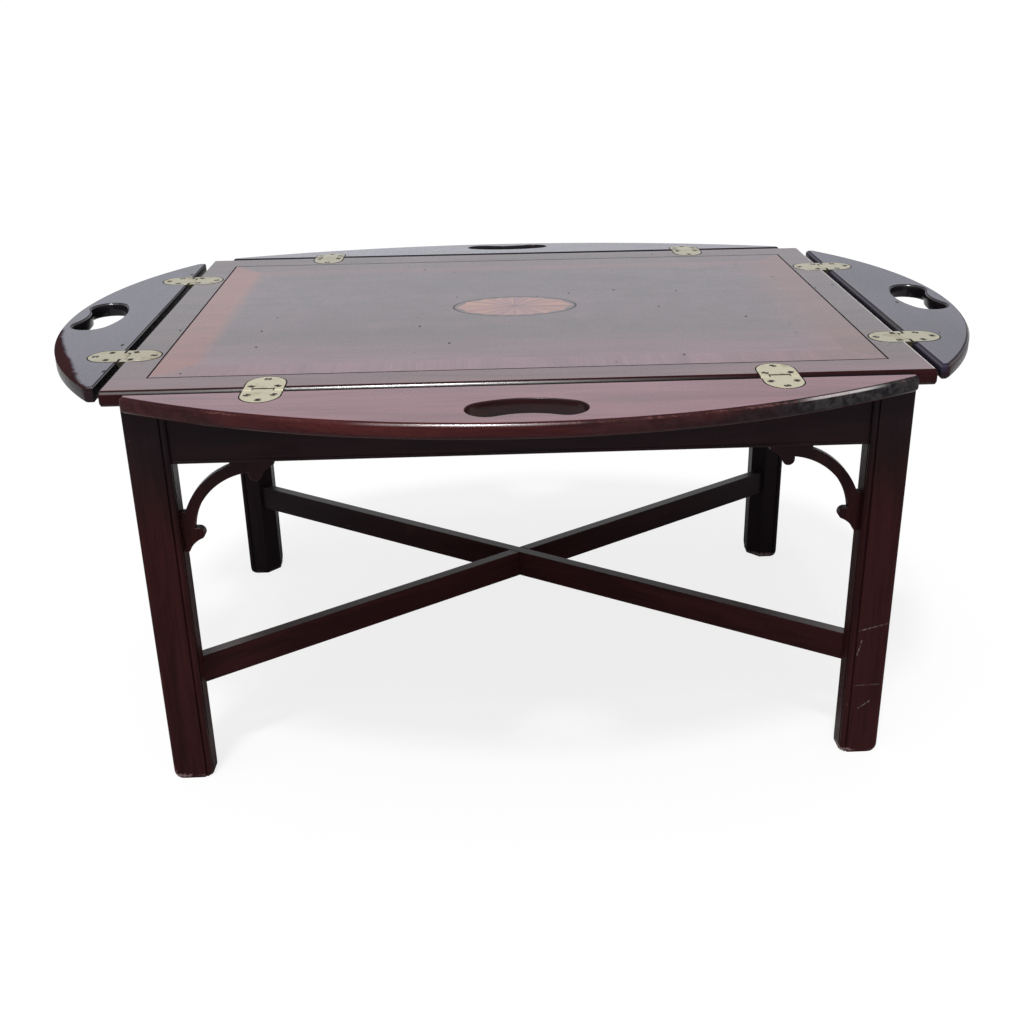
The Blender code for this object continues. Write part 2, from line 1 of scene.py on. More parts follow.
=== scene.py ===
"""Looks of a butler's tray table: an inlaid tray with four folding leaves on a low stand.

Metres, +Z up, in the packed model's own frame. The front is -Y and the long side runs along X.
"""

import json
import math

import bmesh
import bpy
import numpy as np
from mathutils import Matrix, Vector


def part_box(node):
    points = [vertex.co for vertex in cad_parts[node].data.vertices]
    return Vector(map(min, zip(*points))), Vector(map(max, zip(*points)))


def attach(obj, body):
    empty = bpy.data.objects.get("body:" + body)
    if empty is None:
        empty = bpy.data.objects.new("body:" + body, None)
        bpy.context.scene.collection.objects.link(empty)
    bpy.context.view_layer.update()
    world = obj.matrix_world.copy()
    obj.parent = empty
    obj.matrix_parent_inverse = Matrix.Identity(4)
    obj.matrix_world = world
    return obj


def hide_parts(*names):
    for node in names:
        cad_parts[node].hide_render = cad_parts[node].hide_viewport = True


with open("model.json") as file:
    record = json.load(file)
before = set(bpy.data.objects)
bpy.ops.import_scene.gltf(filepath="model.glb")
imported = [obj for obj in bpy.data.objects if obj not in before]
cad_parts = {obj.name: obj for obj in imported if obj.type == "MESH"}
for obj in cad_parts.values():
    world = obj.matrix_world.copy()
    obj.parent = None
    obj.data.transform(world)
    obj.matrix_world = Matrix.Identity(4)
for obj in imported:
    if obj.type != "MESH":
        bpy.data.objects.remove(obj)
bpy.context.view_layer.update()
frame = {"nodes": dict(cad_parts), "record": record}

bl_info = {
    "name": "Butler's Tray Table",
    "version": (1, 0, 0),
    "blender": (4, 5, 0),
    "location": "View3D > Sidebar > Tray Table",
    "description": "Dresses a butler's tray table: tray, inlay, leaves, hinges, stand and stage",
    "category": "Object",
}

# Boxes of the pieces that give the others their place
TRAY_LOW, TRAY_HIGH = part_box("tray_board")
LEG_LOW, LEG_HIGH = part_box("leg_back_right")
TOP = TRAY_HIGH.z

# Name, turn about Z that brings local +Y outwards, and names of the -X and +X ends
SIDES = (
    ("front", 180, ("right", "left")),
    ("back", 0, ("left", "right")),
    ("left", 90, ("front", "back")),
    ("right", -90, ("back", "front")),
)

# Steps along arcs, chosen by how closely each is seen
RIM_STEPS = 96
HOLE_STEPS = 28
CORNER_STEPS = 6
EASE_STEPS = 8
BEAD_STEPS = 14
FACE_STEPS = 12
RING_STEPS = 28
SCREW_TURNS = 40
SCREW_RINGS = 16
SEAT_STEPS = 26
SEAT_SIDES = 8
OVAL_STEPS = 120
BEVEL_STEPS = 3

# Share of a foot's wear that its straight edges have, and the power that keeps wear to its corners
FOOT_EDGE = 0.05
FOOT_POWER = 6
# Shares of a screw head's radius where the painted shade round it starts and where its innermost ring lies
SCREW_RIM = 0.86
SCREW_MIDDLE = 0.02
# Dirt all over a head, the share of a slot's width that its walls take, and the seed of the slots' turns
SCREW_DIRT = 0.75
SLOT_SLOPE = 0.15
SCREW_SEED = 7
# Painted shade in a seat: its height as a share of the plate's lift, and its start from the joint in its own
# widths
SEAT_RISE = 0.6
SEAT_START = 3
# Share of a knuckle's radius that its lines go down, and of a hand hole's round that counts as wall
KNUCKLE_SHARE = 0.9
WALL_SHARE = 0.9
# Angles between which a bracket's knob runs
KNOB_ARC = (50, -90)
# How worn the lower arrises, the tray's edge, the leaves' rims and the stand's beads are
LOWER_WEAR = 0.25
TRAY_WEAR = 0.2
FRONT_WEAR = 1.0
LEAF_WEAR = 0.3
LEG_BEAD_WEAR = 0.6
LEG_TOP_WEAR = 0.35
APRON_WEAR = 0.5
# How far wear goes beyond the radius of a leg's corner or bead
WEAR_REACH = 1.5

# Width of the flat strip that keeps a rounded edge from shading the face beside it
FLAT_STRIP = 0.0006
# Points closer than the first are one; the second is the radius of the inlay's sharp corners
MERGE = 0.00001
SHARP = MERGE * 10
# Power that makes the worn edges of the top blunter than a round
BLUNT = 1.6
# Share of the front edge's round that the tray's other edges have
CRISP_SHARE = 0.45
# Angles in degrees: faces closer than these are smooth, flat or left without a bevel
SMOOTH_ANGLE = 38
FLAT_ANGLE = 1
BEVEL_ANGLE = 50
# Least cosine at a mitre, so that sharp corners don't shoot out
MITRE_LIMIT = 0.3

ORIGIN = (0.0, 0.0, 0.0)
WHITE = (1.0, 1.0, 1.0, 1.0)
# Turns that bring the grain from each axis to X
ALONG_X = ORIGIN
ALONG_Y = (0.0, 0.0, math.pi / 2)
ALONG_Z = (0.0, math.pi / 2, 0.0)
# Start, way and strength of the scratches on the right front leg
SCRATCHES = (
    ((0.3533, -0.257, 0.1549), (0.0316, 0.0, 0.0085), 0.34),
    ((0.3533, -0.257, 0.1253), (0.0038, 0.0, 0.0177), 0.26),
    ((0.3535, -0.257, 0.0867), (0.0274, 0.0, 0.0010), 0.12),
    ((0.3605, -0.257, 0.0578), (0.0114, 0.0, 0.0085), 0.28),
)
SCRATCH_WIDTH = 0.0008
# How densely knocks lie on the leaves
LEAF_KNOCKS = 20.0
# How much darker the floor's mottling is, and how far up the sky the haze goes
FLOOR_SHADE = 0.985
HAZE_TOP = 0.42
# The camera's sensor in millimetres and the range that it sees
SENSOR = 36.0
NEAREST = 0.05
FARTHEST = 500.0


def number(label, note, default, **more):
    """A number that a user can change."""
    return bpy.props.FloatProperty(name=label, description=note, default=default, **more)


def numbers(label, note, default, **more):
    """A row of numbers that a user can change."""
    return bpy.props.FloatVectorProperty(name=label, description=note, default=default,
                                         size=len(default), **more)


def size(label, note, default):
    """A length that a user can change."""
    return number(label, note, default, unit="LENGTH", precision=5, min=0.0)


def angle(label, note, default):
    """An angle that a user can change."""
    return number(label, note, default, subtype="ANGLE")


def colour(label, note, default):
    """A colour that a user can change."""
    return numbers(label, note, default, subtype="COLOR", min=0.0, max=1.0)


class TrayTableLeaves(bpy.types.PropertyGroup):
    """Shape of the four folding leaves."""

    end: size("End", "Depth of a leaf at its two ends", 0.009)
    corner: size("Corner", "Radius of the corners between end and rim", 0.006)
    joint_corner: size("Joint corner", "Radius of the corners on the joint", 0.0012)
    gap: size("Joint gap", "Space between tray and leaf", 0.008)
    sag: angle("Sag", "How far the back leaf hangs below level", math.radians(5.2))
    ease: size("Worn rim round", "Radius of the round along the front and right rims", 0.0036)
    crisp_ease: size("Other rims' round", "Radius of the round along the other rims", 0.0018)
    hole_ease: size("Hole round", "Radius of the round at the side leaves' hand holes", 0.0022)
    crisp_hole: size("Crisp hole", "Radius of the round at the long leaves' hand holes", 0.0008)
    hole_width: size("Hole width", "Width of the hand hole", 0.039)
    hole_chord: size("Hole chord", "Distance between the centres of the hole's round ends", 0.072)
    hole_bend: size("Hole bend", "How far the hole's middle line bends", 0.0075)
    hole_setback: size("Hole setback", "From the joint to the middle of the hole", 0.0595)


class TrayTableTray(bpy.types.PropertyGroup):
    """Shape of the tray board and its inlay."""

    corner: size("Corner", "Radius of the tray's corners", 0.003)
    ease: size("Edge round", "Radius of the round along the tray's front edge", 0.0042)
    veneer: size("Veneer", "Thickness of the inlaid veneers", 0.0012)
    string: size("Stringing", "Width of the dark line round the banding", 0.0018)
    rays: bpy.props.IntProperty(name="Fan rays", description="Rays of the oval fan", default=16)


class TrayTableHinges(bpy.types.PropertyGroup):
    """Shape of the hinge plates, their seats and their screws."""

    lift: size("Lift", "How far a plate stands proud of the wood", 0.00018)
    edge: size("Edge", "Radius of the plates' worn edges", 0.00035)
    end: size("End depth", "Depth of the rounded end of a plate", 0.020)
    seat: size("Seat line", "Width of the dark line in the seat round a plate", 0.0026)
    screw: size("Screw head", "Radius of a screw head", 0.0037)
    crown: size("Screw crown", "Height of a screw head's dome", 0.00035)
    slot_width: size("Slot width", "Width of a screw's slot", 0.0016)
    slot_depth: size("Slot depth", "Depth of a screw's slot", 0.0010)
    end_reach: size("End screw", "From the pin to the screw at a plate's end", 0.0298)
    tray_reach: size("Tray pair", "From the pin to the pair of screws on the tray", 0.0088)
    leaf_reach: size("Leaf pair", "From the pin to the pair of screws on the leaf", 0.0160)
    spacing: size("Pair spacing", "Between the two screws of a pair", 0.0248)
    knuckle: size("Knuckle", "Width of the middle knuckle", 0.0198)
    knuckle_line: size("Knuckle line", "Width of the dark line at a knuckle's end", 0.0006)


class TrayTableStand(bpy.types.PropertyGroup):
    """Shape of the legs, aprons and brackets."""

    chamfer: size("Leg chamfer", "Chamfer on the inner corner of a leg", 0.016)
    corner: size("Leg corner", "Radius of a leg's outer corner", 0.0028)
    bead: size("Leg bead", "Radius of the bead on a leg's arrises", 0.0033)
    quirk_width: size("Leg quirk", "Width of the groove beside a leg's bead", 0.0007)
    quirk_depth: size("Leg quirk depth", "Depth of the groove beside a leg's bead", 0.0020)
    foot: size("Foot round", "How far a foot's corners are worn in", 0.0066)
    foot_rise: size("Foot rise", "Height over which a foot's corners are worn in", 0.0110)
    apron_height: size("Apron height", "Height of the aprons", 0.067)
    apron_thickness: size("Apron thickness", "Thickness of the aprons", 0.019)
    apron_setback: size("Apron setback", "From a leg's face back to the apron's face", 0.005)
    apron_bead: size("Apron bead", "Radius of the bead along an apron's lower edge", 0.0019)
    apron_quirk: size("Apron quirk", "Width of the groove over the bead", 0.0007)
    apron_quirk_depth: size("Apron quirk depth", "Depth of the groove over the bead", 0.0012)
    reach: size("Bracket reach", "Reach of a bracket along the apron and down the leg", 0.0975)
    ring_centre: size("Ring centre", "Centre of the bracket's quarter ring from both seats", 0.080)
    ring_radius: size("Ring radius", "Inner radius of the quarter ring", 0.068)
    ring_band: size("Ring band", "Width of the quarter ring", 0.0115)
    pad: size("Pad start", "Where a bracket's pads meet leg and apron", 0.054)
    knob_reach: size("Knob reach", "Centre of a knob from its seat", 0.0155)
    knob_drop: size("Knob drop", "Centre of a knob along its seat", 0.078)
    knob: size("Knob radius", "Radius of the knobs", 0.0063)
    tail: size("Tail end", "Width of a tail at its tip", 0.0045)
    tail_bow: size("Tail bow", "Hollow of a tail", 0.0022)
    arris: size("Arris", "Radius of worn edges on the stand", 0.0007)


class TrayTableFinishes(bpy.types.PropertyGroup):
    """Colours of the finishes, in linear light."""

    stand_dark: colour("Stand dark", "Dark streaks of the stand's wood", (0.0135, 0.0035, 0.0042))
    stand_light: colour("Stand light", "Light streaks of the stand's wood", (0.0300, 0.0075, 0.0078))
    # Painted shade: the stand's wood darkened under the top and towards the back
    stand_painted_shade: colour("Stand painted shade", "Stand's wood darkened under the top", (0.0080, 0.0082, 0.0098))
    rim_dark: colour("Rim dark", "Dark streaks round the edges of the top", (0.026, 0.0060, 0.0070))
    rim_light: colour("Rim light", "Light streaks round the edges of the top", (0.066, 0.0150, 0.0150))
    # Painted light: the front leaf's top lighter than its rim, as if more strongly lit; also laid on the
    # border's front
    front_dark: colour("Front leaf dark", "Dark streaks of the bleached front leaf", (0.105, 0.033, 0.050))
    front_light: colour("Front leaf light", "Light streaks of the bleached front leaf", (0.185, 0.063, 0.090))
    # Back and side leaves: tinted blue as a painted reflection of the sky
    back_dark: colour("Back leaf dark", "Dark streaks of the back leaf", (0.020, 0.011, 0.020))
    back_light: colour("Back leaf light", "Light streaks of the back leaf", (0.050, 0.027, 0.050))
    side_dark: colour("Side leaves dark", "Dark streaks of the side leaves", (0.007, 0.0052, 0.020))
    side_light: colour("Side leaves light", "Light streaks of the side leaves", (0.023, 0.016, 0.050))
    border_dark: colour("Border dark", "Dark streaks of the tray's border", (0.026, 0.013, 0.017))
    border_light: colour("Border light", "Light streaks of the tray's border", (0.068, 0.036, 0.039))
    field_dark: colour("Field dark", "Dark streaks of the field", (0.030, 0.015, 0.023))
    field_light: colour("Field light", "Light streaks of the field", (0.050, 0.026, 0.037))
    band_dark: colour("Band dark", "Dark streaks of the crossbanding", (0.118, 0.028, 0.025))
    band_light: colour("Band light", "Light streaks of the crossbanding", (0.176, 0.044, 0.034))
    tint_dark: colour("Tint dark", "Dark streaks where the inlay is pink", (0.100, 0.042, 0.064))
    tint_light: colour("Tint light", "Light streaks where the inlay is pink", (0.165, 0.072, 0.108))
    string: colour("Stringing", "Ebonised stringing", (0.005, 0.004, 0.005))
    ray_dark: colour("Ray dark", "Scorched side of a fan ray", (0.155, 0.060, 0.066))
    ray_light: colour("Ray light", "Pale side of a fan ray", (0.330, 0.148, 0.088))
    # Gap: painted shade in the joints and on the hand holes' walls; also the dark of bruises and of side and
    # back rims
    gap: colour("Gap", "Dirt in joints, hand holes and bruises", (0.0070, 0.0060, 0.0075))
    bruise: colour("Bruise", "Grey of bruised and handled rims", (0.033, 0.029, 0.031))
    # Also a painted highlight along the tray's right arris and along the front leaf's arris
    scrape_and_highlight: colour("Scrape", "Pale wood of scrapes, scratches and dusty ledges", (0.42, 0.39, 0.39))
    worn: colour("Worn edge", "Wood bared along worn edges", (0.180, 0.072, 0.070))
    hidden_dark: colour("Hidden dark", "Dark streaks of the hidden wood", (0.130, 0.078, 0.044))
    hidden_light: colour("Hidden light", "Light streaks of the hidden wood", (0.250, 0.160, 0.092))
    # Painted light: the front hinges' brass is lighter than the rest, as if more strongly lit
    bright: colour("Bright brass", "Brass of the front hinges", (0.560, 0.520, 0.375))
    brass: colour("Brass", "Rubbed brass", (0.450, 0.420, 0.310))
    tarnish: colour("Tarnish", "Tarnished brass", (0.260, 0.225, 0.140))
    screw: colour("Screw", "Tarnished screw heads", (0.085, 0.072, 0.048))
    # Grime also serves as painted shade: in the seats, beside the knuckles and round the screw heads
    grime: colour("Grime", "Dirt in slots and seats", (0.010, 0.008, 0.006))
    floor: colour("Floor", "Pale studio floor", (0.90, 0.90, 0.90))


class TrayTableStage(bpy.types.PropertyGroup):
    """Camera and light."""

    place: numbers("Camera", "Where the camera stands", (-0.03483, -1.33614, 0.81218), subtype="TRANSLATION")
    yaw: angle("Yaw", "Turn of the camera to the left", -0.04208)
    pitch: angle("Pitch", "Tilt of the camera upwards", -0.38022)
    roll: angle("Roll", "Lean of the camera", 0.01305)
    lens: number("Lens", "Focal length on a 36 mm sensor", 41.664, unit="CAMERA")
    shift: numbers("Shift", "Shift of the frame", (-0.02246, -0.06713))
    sky: number("Sky", "Strength of the light from all round", 0.52)
    haze: colour("Haze", "Colour low in the sky, seen in reflections", (0.74, 0.77, 0.86))
    key: number("Key", "Strength of the key light", 0.75)
    key_spread: angle("Key spread", "Angle that the key light fills", math.radians(50))
    key_from: numbers("Key from", "Way to the key light", (-0.25, -0.42, 1.0), subtype="DIRECTION")
    glint: number("Glint", "Strength of the small hard light", 1.80)
    glint_spread: angle("Glint spread", "Angle that the hard light fills", math.radians(8))
    glint_from: numbers("Glint from", "Way to the hard light", (-0.105, -0.355, 1.0), subtype="DIRECTION")
    floor_white: number("Floor white", "Share of plain white in the seen floor", 0.80, min=0.0, max=1.0)
    floor_reach: number("Floor reach", "Half the floor's width", 60.0, unit="LENGTH")


GROUPS = {
    "tray_table_leaves": TrayTableLeaves,
    "tray_table_tray": TrayTableTray,
    "tray_table_hinges": TrayTableHinges,
    "tray_table_stand": TrayTableStand,
    "tray_table_finishes": TrayTableFinishes,
    "tray_table_stage": TrayTableStage,
}


def settings(name):
    """One of the table's groups of settings."""
    return getattr(bpy.context.scene, name)


# Outlines in the plan, as arrays of points that run anticlockwise


def unit(vectors):
    """Vectors divided by their own length."""
    return vectors / np.linalg.norm(vectors, axis=-1, keepdims=True)


def arc(centre, radius, start, finish, steps):
    """Centre plus radius times cosine and sine of evenly spaced angles, in degrees."""
    angles = np.radians(np.linspace(start, finish, steps + 1))
    return np.column_stack((centre[0] + radius * np.cos(angles), centre[1] + radius * np.sin(angles)))


def bow(start, finish, swell, steps):
    """The arc through start and finish whose middle stands off their chord by swell, to the right."""
    start = np.asarray(start, float)
    finish = np.asarray(finish, float)
    half = np.linalg.norm(finish - start) / 2
    along = unit(finish - start)
    right = np.array((along[1], -along[0]))
    radius = (half ** 2 + swell ** 2) / (2 * abs(swell))
    sweep = np.arcsin(half / radius)
    angles = np.linspace(-sweep, sweep, steps + 1)[:, None]
    rise = (np.cos(angles) - np.cos(sweep)) * radius * np.sign(swell)
    return (start + finish) / 2 + along * radius * np.sin(angles) + right * rise


def round_corners(corners, radii):
    """A polygon whose corners become arcs tangent to both sides.

    Each arc swings from one tangent point to the next about a centre on the corner's bisector.
    """
    corners = np.asarray(corners, float)
    radii = np.broadcast_to(radii, len(corners))[:, None]
    back = unit(np.roll(corners, 1, 0) - corners)
    ahead = unit(np.roll(corners, -1, 0) - corners)
    half = np.arccos(np.sum(back * ahead, 1, keepdims=True)) / 2
    centre = corners + unit(back + ahead) * radii / np.sin(half)
    first = (corners + back * radii / np.tan(half) - centre)[:, None]
    last = (corners + ahead * radii / np.tan(half) - centre)[:, None]
    swing = (np.pi - 2 * half)[:, None]
    share = np.linspace(0, 1, CORNER_STEPS + 1)[None, :, None]
    spokes = (np.sin((1 - share) * swing) * first + np.sin(share * swing) * last) / np.sin(swing)
    return (centre[:, None] + spokes).reshape(-1, 2)


def rectangle(half_x, half_y, radius):
    """A rectangle round the origin with rounded corners."""
    corners = ((-half_x, -half_y), (half_x, -half_y), (half_x, half_y), (-half_x, half_y))
    return round_corners(corners, radius)


def inward(points):
    """Mitred normals of an outline: the mean of the two sides' normals, stretched to keep their distance."""
    ahead = unit(np.roll(points, -1, 0) - points)
    left = np.column_stack((-ahead[:, 1], ahead[:, 0]))
    behind = np.roll(left, 1, 0)
    middle = unit(left + behind)
    return middle / np.maximum(np.sum(middle * left, 1, keepdims=True), MITRE_LIMIT)


def sign_of(points):
    """1 for an outline that runs anticlockwise, -1 for one that runs clockwise."""
    following = np.roll(points, -1, 0)
    return np.sign(np.sum(points[:, 0] * following[:, 1] - following[:, 0] * points[:, 1]))


def turns_round(points, middle):
    """Angle of each point round a middle, and the outline's first point by angle."""
    turns = np.arctan2(points[:, 1] - middle[1], points[:, 0] - middle[0])
    first = int(np.argmin(turns))
    return np.roll(turns, -first), first


def facing_places(first_turns, second_turns):
    """Places on two outlines that face each other: all points of both, counted along each by angle."""
    every = np.unique(np.round(np.concatenate((first_turns, second_turns)), 5))
    places = []
    for turns in (first_turns, second_turns):
        looped = np.append(turns, turns[0] + 2 * np.pi)
        wrapped = np.where(every < turns[0], every + 2 * np.pi, every)
        places.append(np.interp(wrapped, looped, np.arange(len(looped))))
    return places


def read_at(points, first, places):
    """Points of a closed outline, from its first on, read off at places counted in its own points."""
    looped = np.roll(points, -first, 0)
    looped = np.concatenate((looped, looped[:1]))
    return np.column_stack([np.interp(places, np.arange(len(looped)), column) for column in looped.T])


def eased_edge(low, high, ease, bluntness=1.0):
    """Inset and height of a board's edge from its lower face round to its upper face.

    At each arris sine and cosine are raised to a power: 1 gives a quarter circle, and more a blunter
    edge, close to a chamfer. The third row says how worn a place is, most along the upper arris.
    """
    turn = np.linspace(0, np.pi / 2, EASE_STEPS + 1)
    inset = ease * (1 - np.sin(turn) ** bluntness)
    height = ease * (1 - np.cos(turn) ** bluntness)
    wear = np.sin(2 * turn)
    strip = ease + FLAT_STRIP
    insets = np.concatenate(([strip], inset, inset[::-1], [strip]))
    heights = np.concatenate(([low], low + height, high - height[::-1], [high]))
    return insets, heights, np.concatenate(([0.0], wear * LOWER_WEAR, wear[::-1], [0.0]))


def levelled(outlines, heights):
    """Rings from flat outlines, each lifted to its height."""
    rings = np.stack(outlines)
    levels = np.broadcast_to(np.asarray(heights)[:, None, None], (*rings.shape[:2], 1))
    return np.concatenate((rings, levels), 2)


def stacked(points, normals, insets, heights):
    """Rings of an outline: moved along its normals by each inset and lifted to each height."""
    return levelled(points[None] + normals[None] * np.asarray(insets)[:, None, None], heights)


# Meshes


def is_long(turn):
    """Whether a side with this turn is one of the two long ones."""
    return turn % 180 == 0


def side_matrix(reach, turn):
    """Frame at the middle of one side of the table, local +Y outwards."""
    return Matrix.Rotation(math.radians(turn), 4, "Z") @ Matrix.Translation((0, reach, 0))


def leaf_matrix(name, turn):
    """Frame on a leaf's hinge axis, local +Y outwards along the leaf."""
    joints = frame["record"]["behaviour"]["joints"]
    joint = next(joint for joint in joints if joint["name"] == f"{name}_leaf_fold")
    sag = settings("tray_table_leaves").sag if name == "back" else 0.0
    return (Matrix.Translation(joint["pos_m"]) @ Matrix.Rotation(math.radians(turn), 4, "Z")
            @ Matrix.Rotation(-sag, 4, "X"))


def hinge_halves(name, turn, end):
    """Frame over the pin on the level of the top, body and tag of a hinge's two halves, the leaf's first."""
    axis = leaf_matrix(name, turn)
    low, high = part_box(f"hinge_{name}_{end}_pin")
    along = (axis.inverted() @ ((low + high) / 2)).x
    rise = TOP - axis.translation.z
    level = Matrix.Translation(axis.translation) @ Matrix.Rotation(math.radians(turn), 4, "Z")
    place = Matrix.Translation((along, 0, rise))
    return ((axis @ place, f"{name}_leaf", "leaf"),
            (level @ place @ Matrix.Rotation(math.pi, 4, "Z"), "tray", "tray"))


def placed(points, matrix):
    """Points moved by a matrix."""
    matrix = np.array(matrix)
    return points @ matrix[:3, :3].T + matrix[:3, 3]


def grid_faces(rows, columns, closed):
    """Cells of a grid that is round along its columns, with flat ends, or round along its rows too."""
    index = np.arange(rows * columns).reshape(rows, columns)
    low = index if closed else index[:-1]
    high = np.roll(index, -1, 0) if closed else index[1:]
    cells = np.stack((low, np.roll(low, -1, 1), np.roll(high, -1, 1), high), -1).reshape(-1, 4)
    faces = cells.tolist()
    if not closed:
        faces += [index[0, ::-1].tolist(), index[-1].tolist()]
    return faces


def show(mesh, material, body, nodes=()):
    """Put a finished mesh into the scene as a piece that rides on a body."""
    mesh.materials.append(material)
    mesh.shade_smooth()
    mesh.set_sharp_from_angle(angle=math.radians(SMOOTH_ANGLE))
    piece = bpy.data.objects.new(mesh.name, mesh)
    bpy.context.scene.collection.objects.link(piece)
    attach(piece, body)
    if nodes:
        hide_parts(*nodes)
    return piece


def loft_mesh(name, lofts, closed=False, **marks):
    """Surface over rings: a row of the grid is one ring and a column one place along it.

    Several lofts become one mesh. Marks, from 0 to 1, are kept with each point. They are given for each
    point, or once for a whole ring or for a place on all rings.
    """
    points = []
    faces = []
    count = 0
    for rings in lofts:
        rows, columns = rings.shape[:2]
        faces += [[corner + count for corner in face] for face in grid_faces(rows, columns, closed)]
        points.append(rings.reshape(-1, 3))
        count += rows * columns
    mesh = bpy.data.meshes.new(name)
    mesh.from_pydata(np.concatenate(points), [], faces)
    for label, values in marks.items():
        layer = mesh.attributes.new(label, "FLOAT", "POINT")
        layer.data.foreach_set("value", np.broadcast_to(values, (count // columns, columns)).ravel())
    return mesh


def copied_mesh(name, node, lift=0.0):
    """A copy of a solid's mesh with its triangles merged and its flat faces made whole."""
    bm = bmesh.new()
    bm.from_mesh(frame["nodes"][node].data)
    bmesh.ops.remove_doubles(bm, verts=bm.verts, dist=MERGE)
    bmesh.ops.dissolve_limit(bm, angle_limit=math.radians(FLAT_ANGLE), verts=bm.verts, edges=bm.edges)
    bmesh.ops.translate(bm, verts=bm.verts, vec=(0, 0, lift))
    mesh = bpy.data.meshes.new(name)
    bm.to_mesh(mesh)
    bm.free()
    normals = mesh.attributes.get("custom_normal")
    if normals:
        mesh.attributes.remove(normals)
    return mesh


def soften(piece, width):
    """Round a piece's sharp edges."""
    bevel = piece.modifiers.new("worn edges", "BEVEL")
    bevel.width = width
    bevel.segments = BEVEL_STEPS
    bevel.limit_method = "ANGLE"
    bevel.angle_limit = math.radians(BEVEL_ANGLE)
    bevel.harden_normals = True


# Shader nodes


class Flow:
    """A value, colour or vector between shader nodes. Each sum on it adds a node."""

    def __init__(self, tree, socket):
        self.tree = tree
        self.socket = socket

    def sum(self, operation, second=0.0, clamp=False):
        """One sum on values."""
        return add(self.tree, "ShaderNodeMath", {0: self, 1: second}, operation=operation, use_clamp=clamp)[0]

    def vector_sum(self, operation, second, result=0):
        """One sum on vectors."""
        return add(self.tree, "ShaderNodeVectorMath", {0: self, 1: second}, operation=operation)[result]

    def __add__(self, other):
        return self.sum("ADD", other)

    def __sub__(self, other):
        return self.sum("SUBTRACT", other)

    def __mul__(self, other):
        return self.sum("MULTIPLY", other)

    def __or__(self, other):
        """The greater of two values."""
        return self.sum("MAXIMUM", other)

    def __abs__(self):
        return self.sum("ABSOLUTE")

    def __invert__(self):
        """What the value leaves of one."""
        return add(self.tree, "ShaderNodeMath", {0: 1.0, 1: self}, operation="SUBTRACT")[0]

    def fade(self, low, high, start=0.0, finish=1.0):
        """The value mapped smoothly from one range to another."""
        return add(self.tree, "ShaderNodeMapRange", {0: self, 1: low, 2: high, 3: start, 4: finish},
                   interpolation_type="SMOOTHSTEP")[0]

    def mix(self, first, second):
        """The second colour laid over the first by this share."""
        return add(self.tree, "ShaderNodeMix", {0: self, 6: first, 7: second}, data_type="RGBA")[2]

    def split(self):
        """The three parts of a vector."""
        parts = add(self.tree, "ShaderNodeSeparateXYZ", {0: self})
        return [parts[index] for index in range(3)]

    def noise(self, scale, detail=2.0, roughness=0.5, distortion=0.0):
        """A noise value from 0 to 1 at a place."""
        return add(self.tree, "ShaderNodeTexNoise", {"Vector": self, "Scale": scale, "Detail": detail,
                                                     "Roughness": roughness, "Distortion": distortion})[0]


class Made:
    """A node whose outputs are read as flows."""

    def __init__(self, tree, node):
        self.tree = tree
        self.node = node

    def __getitem__(self, key):
        return Flow(self.tree, self.node.outputs[key])


def feed(tree, sockets, feeds):
    """Give sockets values or flows. A text names one of the finishes, whose colour gets full cover."""
    for key, value in feeds.items():
        if isinstance(value, Flow):
            tree.links.new(value.socket, sockets[key])
        elif isinstance(value, str):
            sockets[key].default_value = (*getattr(settings("tray_table_finishes"), value), 1.0)
        else:
            sockets[key].default_value = value


def add(tree, kind, feeds=None, **options):
    """A node with its options and what feeds it."""
    node = tree.nodes.new(kind)
    for key, value in options.items():
        setattr(node, key, value)
    feed(tree, node.inputs, feeds or {})
    return Made(tree, node)


def socket_kind(sample):
    """Kind of a group's socket: by its default's length, or by the flow that it carries."""
    if isinstance(sample, Flow):
        return "NodeSocketColor" if sample.socket.type == "RGBA" else "NodeSocketFloat"
    if isinstance(sample, float):
        return "NodeSocketFloat"
    return "NodeSocketColor" if len(sample) == 4 else "NodeSocketVector"


def kept_group(name, inputs, build):
    """A node group, built the first time that it is asked for."""
    tree = bpy.data.node_groups.get(name)
    if tree is None:
        tree = bpy.data.node_groups.new(name, "ShaderNodeTree")
        for label, default in inputs.items():
            socket = tree.interface.new_socket(label, in_out="INPUT", socket_type=socket_kind(default))
            socket.default_value = default
        results = build(add(tree, "NodeGroupInput"))
        for label, flow in results.items():
            tree.interface.new_socket(label, in_out="OUTPUT", socket_type=socket_kind(flow))
        feed(tree, tree.nodes.new("NodeGroupOutput").inputs, results)
    return tree


def shared(name, **inputs):
    """Make a function that builds a node group into one that places the group in a material."""
    def keep(build):
        def place(tree, **feeds):
            return add(tree, "ShaderNodeGroup", feeds, node_tree=kept_group(name, inputs, build))
        place.__doc__ = build.__doc__
        return place
    return keep


@shared("wood grain", Vector=ORIGIN, Dark=(0.0, 0.0, 0.0, 1.0), Light=(1.0, 1.0, 1.0, 1.0))
def wood_grain(given):
    """Wood with its grain along X: broad figure, fine fibres and short dark pores."""
    place = given["Vector"]
    broad = place.vector_sum("MULTIPLY", (1.1, 9.0, 9.0)).noise(5.0, 4.0, 0.55, 0.7)
    fibre = place.vector_sum("MULTIPLY", (3.0, 110.0, 110.0)).noise(5.0, 4.0, 0.6)
    pores = place.vector_sum("MULTIPLY", (130.0, 1900.0, 1900.0)).noise(1.0, 1.0).fade(0.60, 0.72)
    figure = broad * 0.62 + fibre * 0.38
    wood = figure.fade(0.34, 0.66).mix(given["Dark"], given["Light"])
    return {"Color": (pores * 0.55).mix(wood, given["Dark"]), "Height": fibre * 0.35 - pores * 0.65}


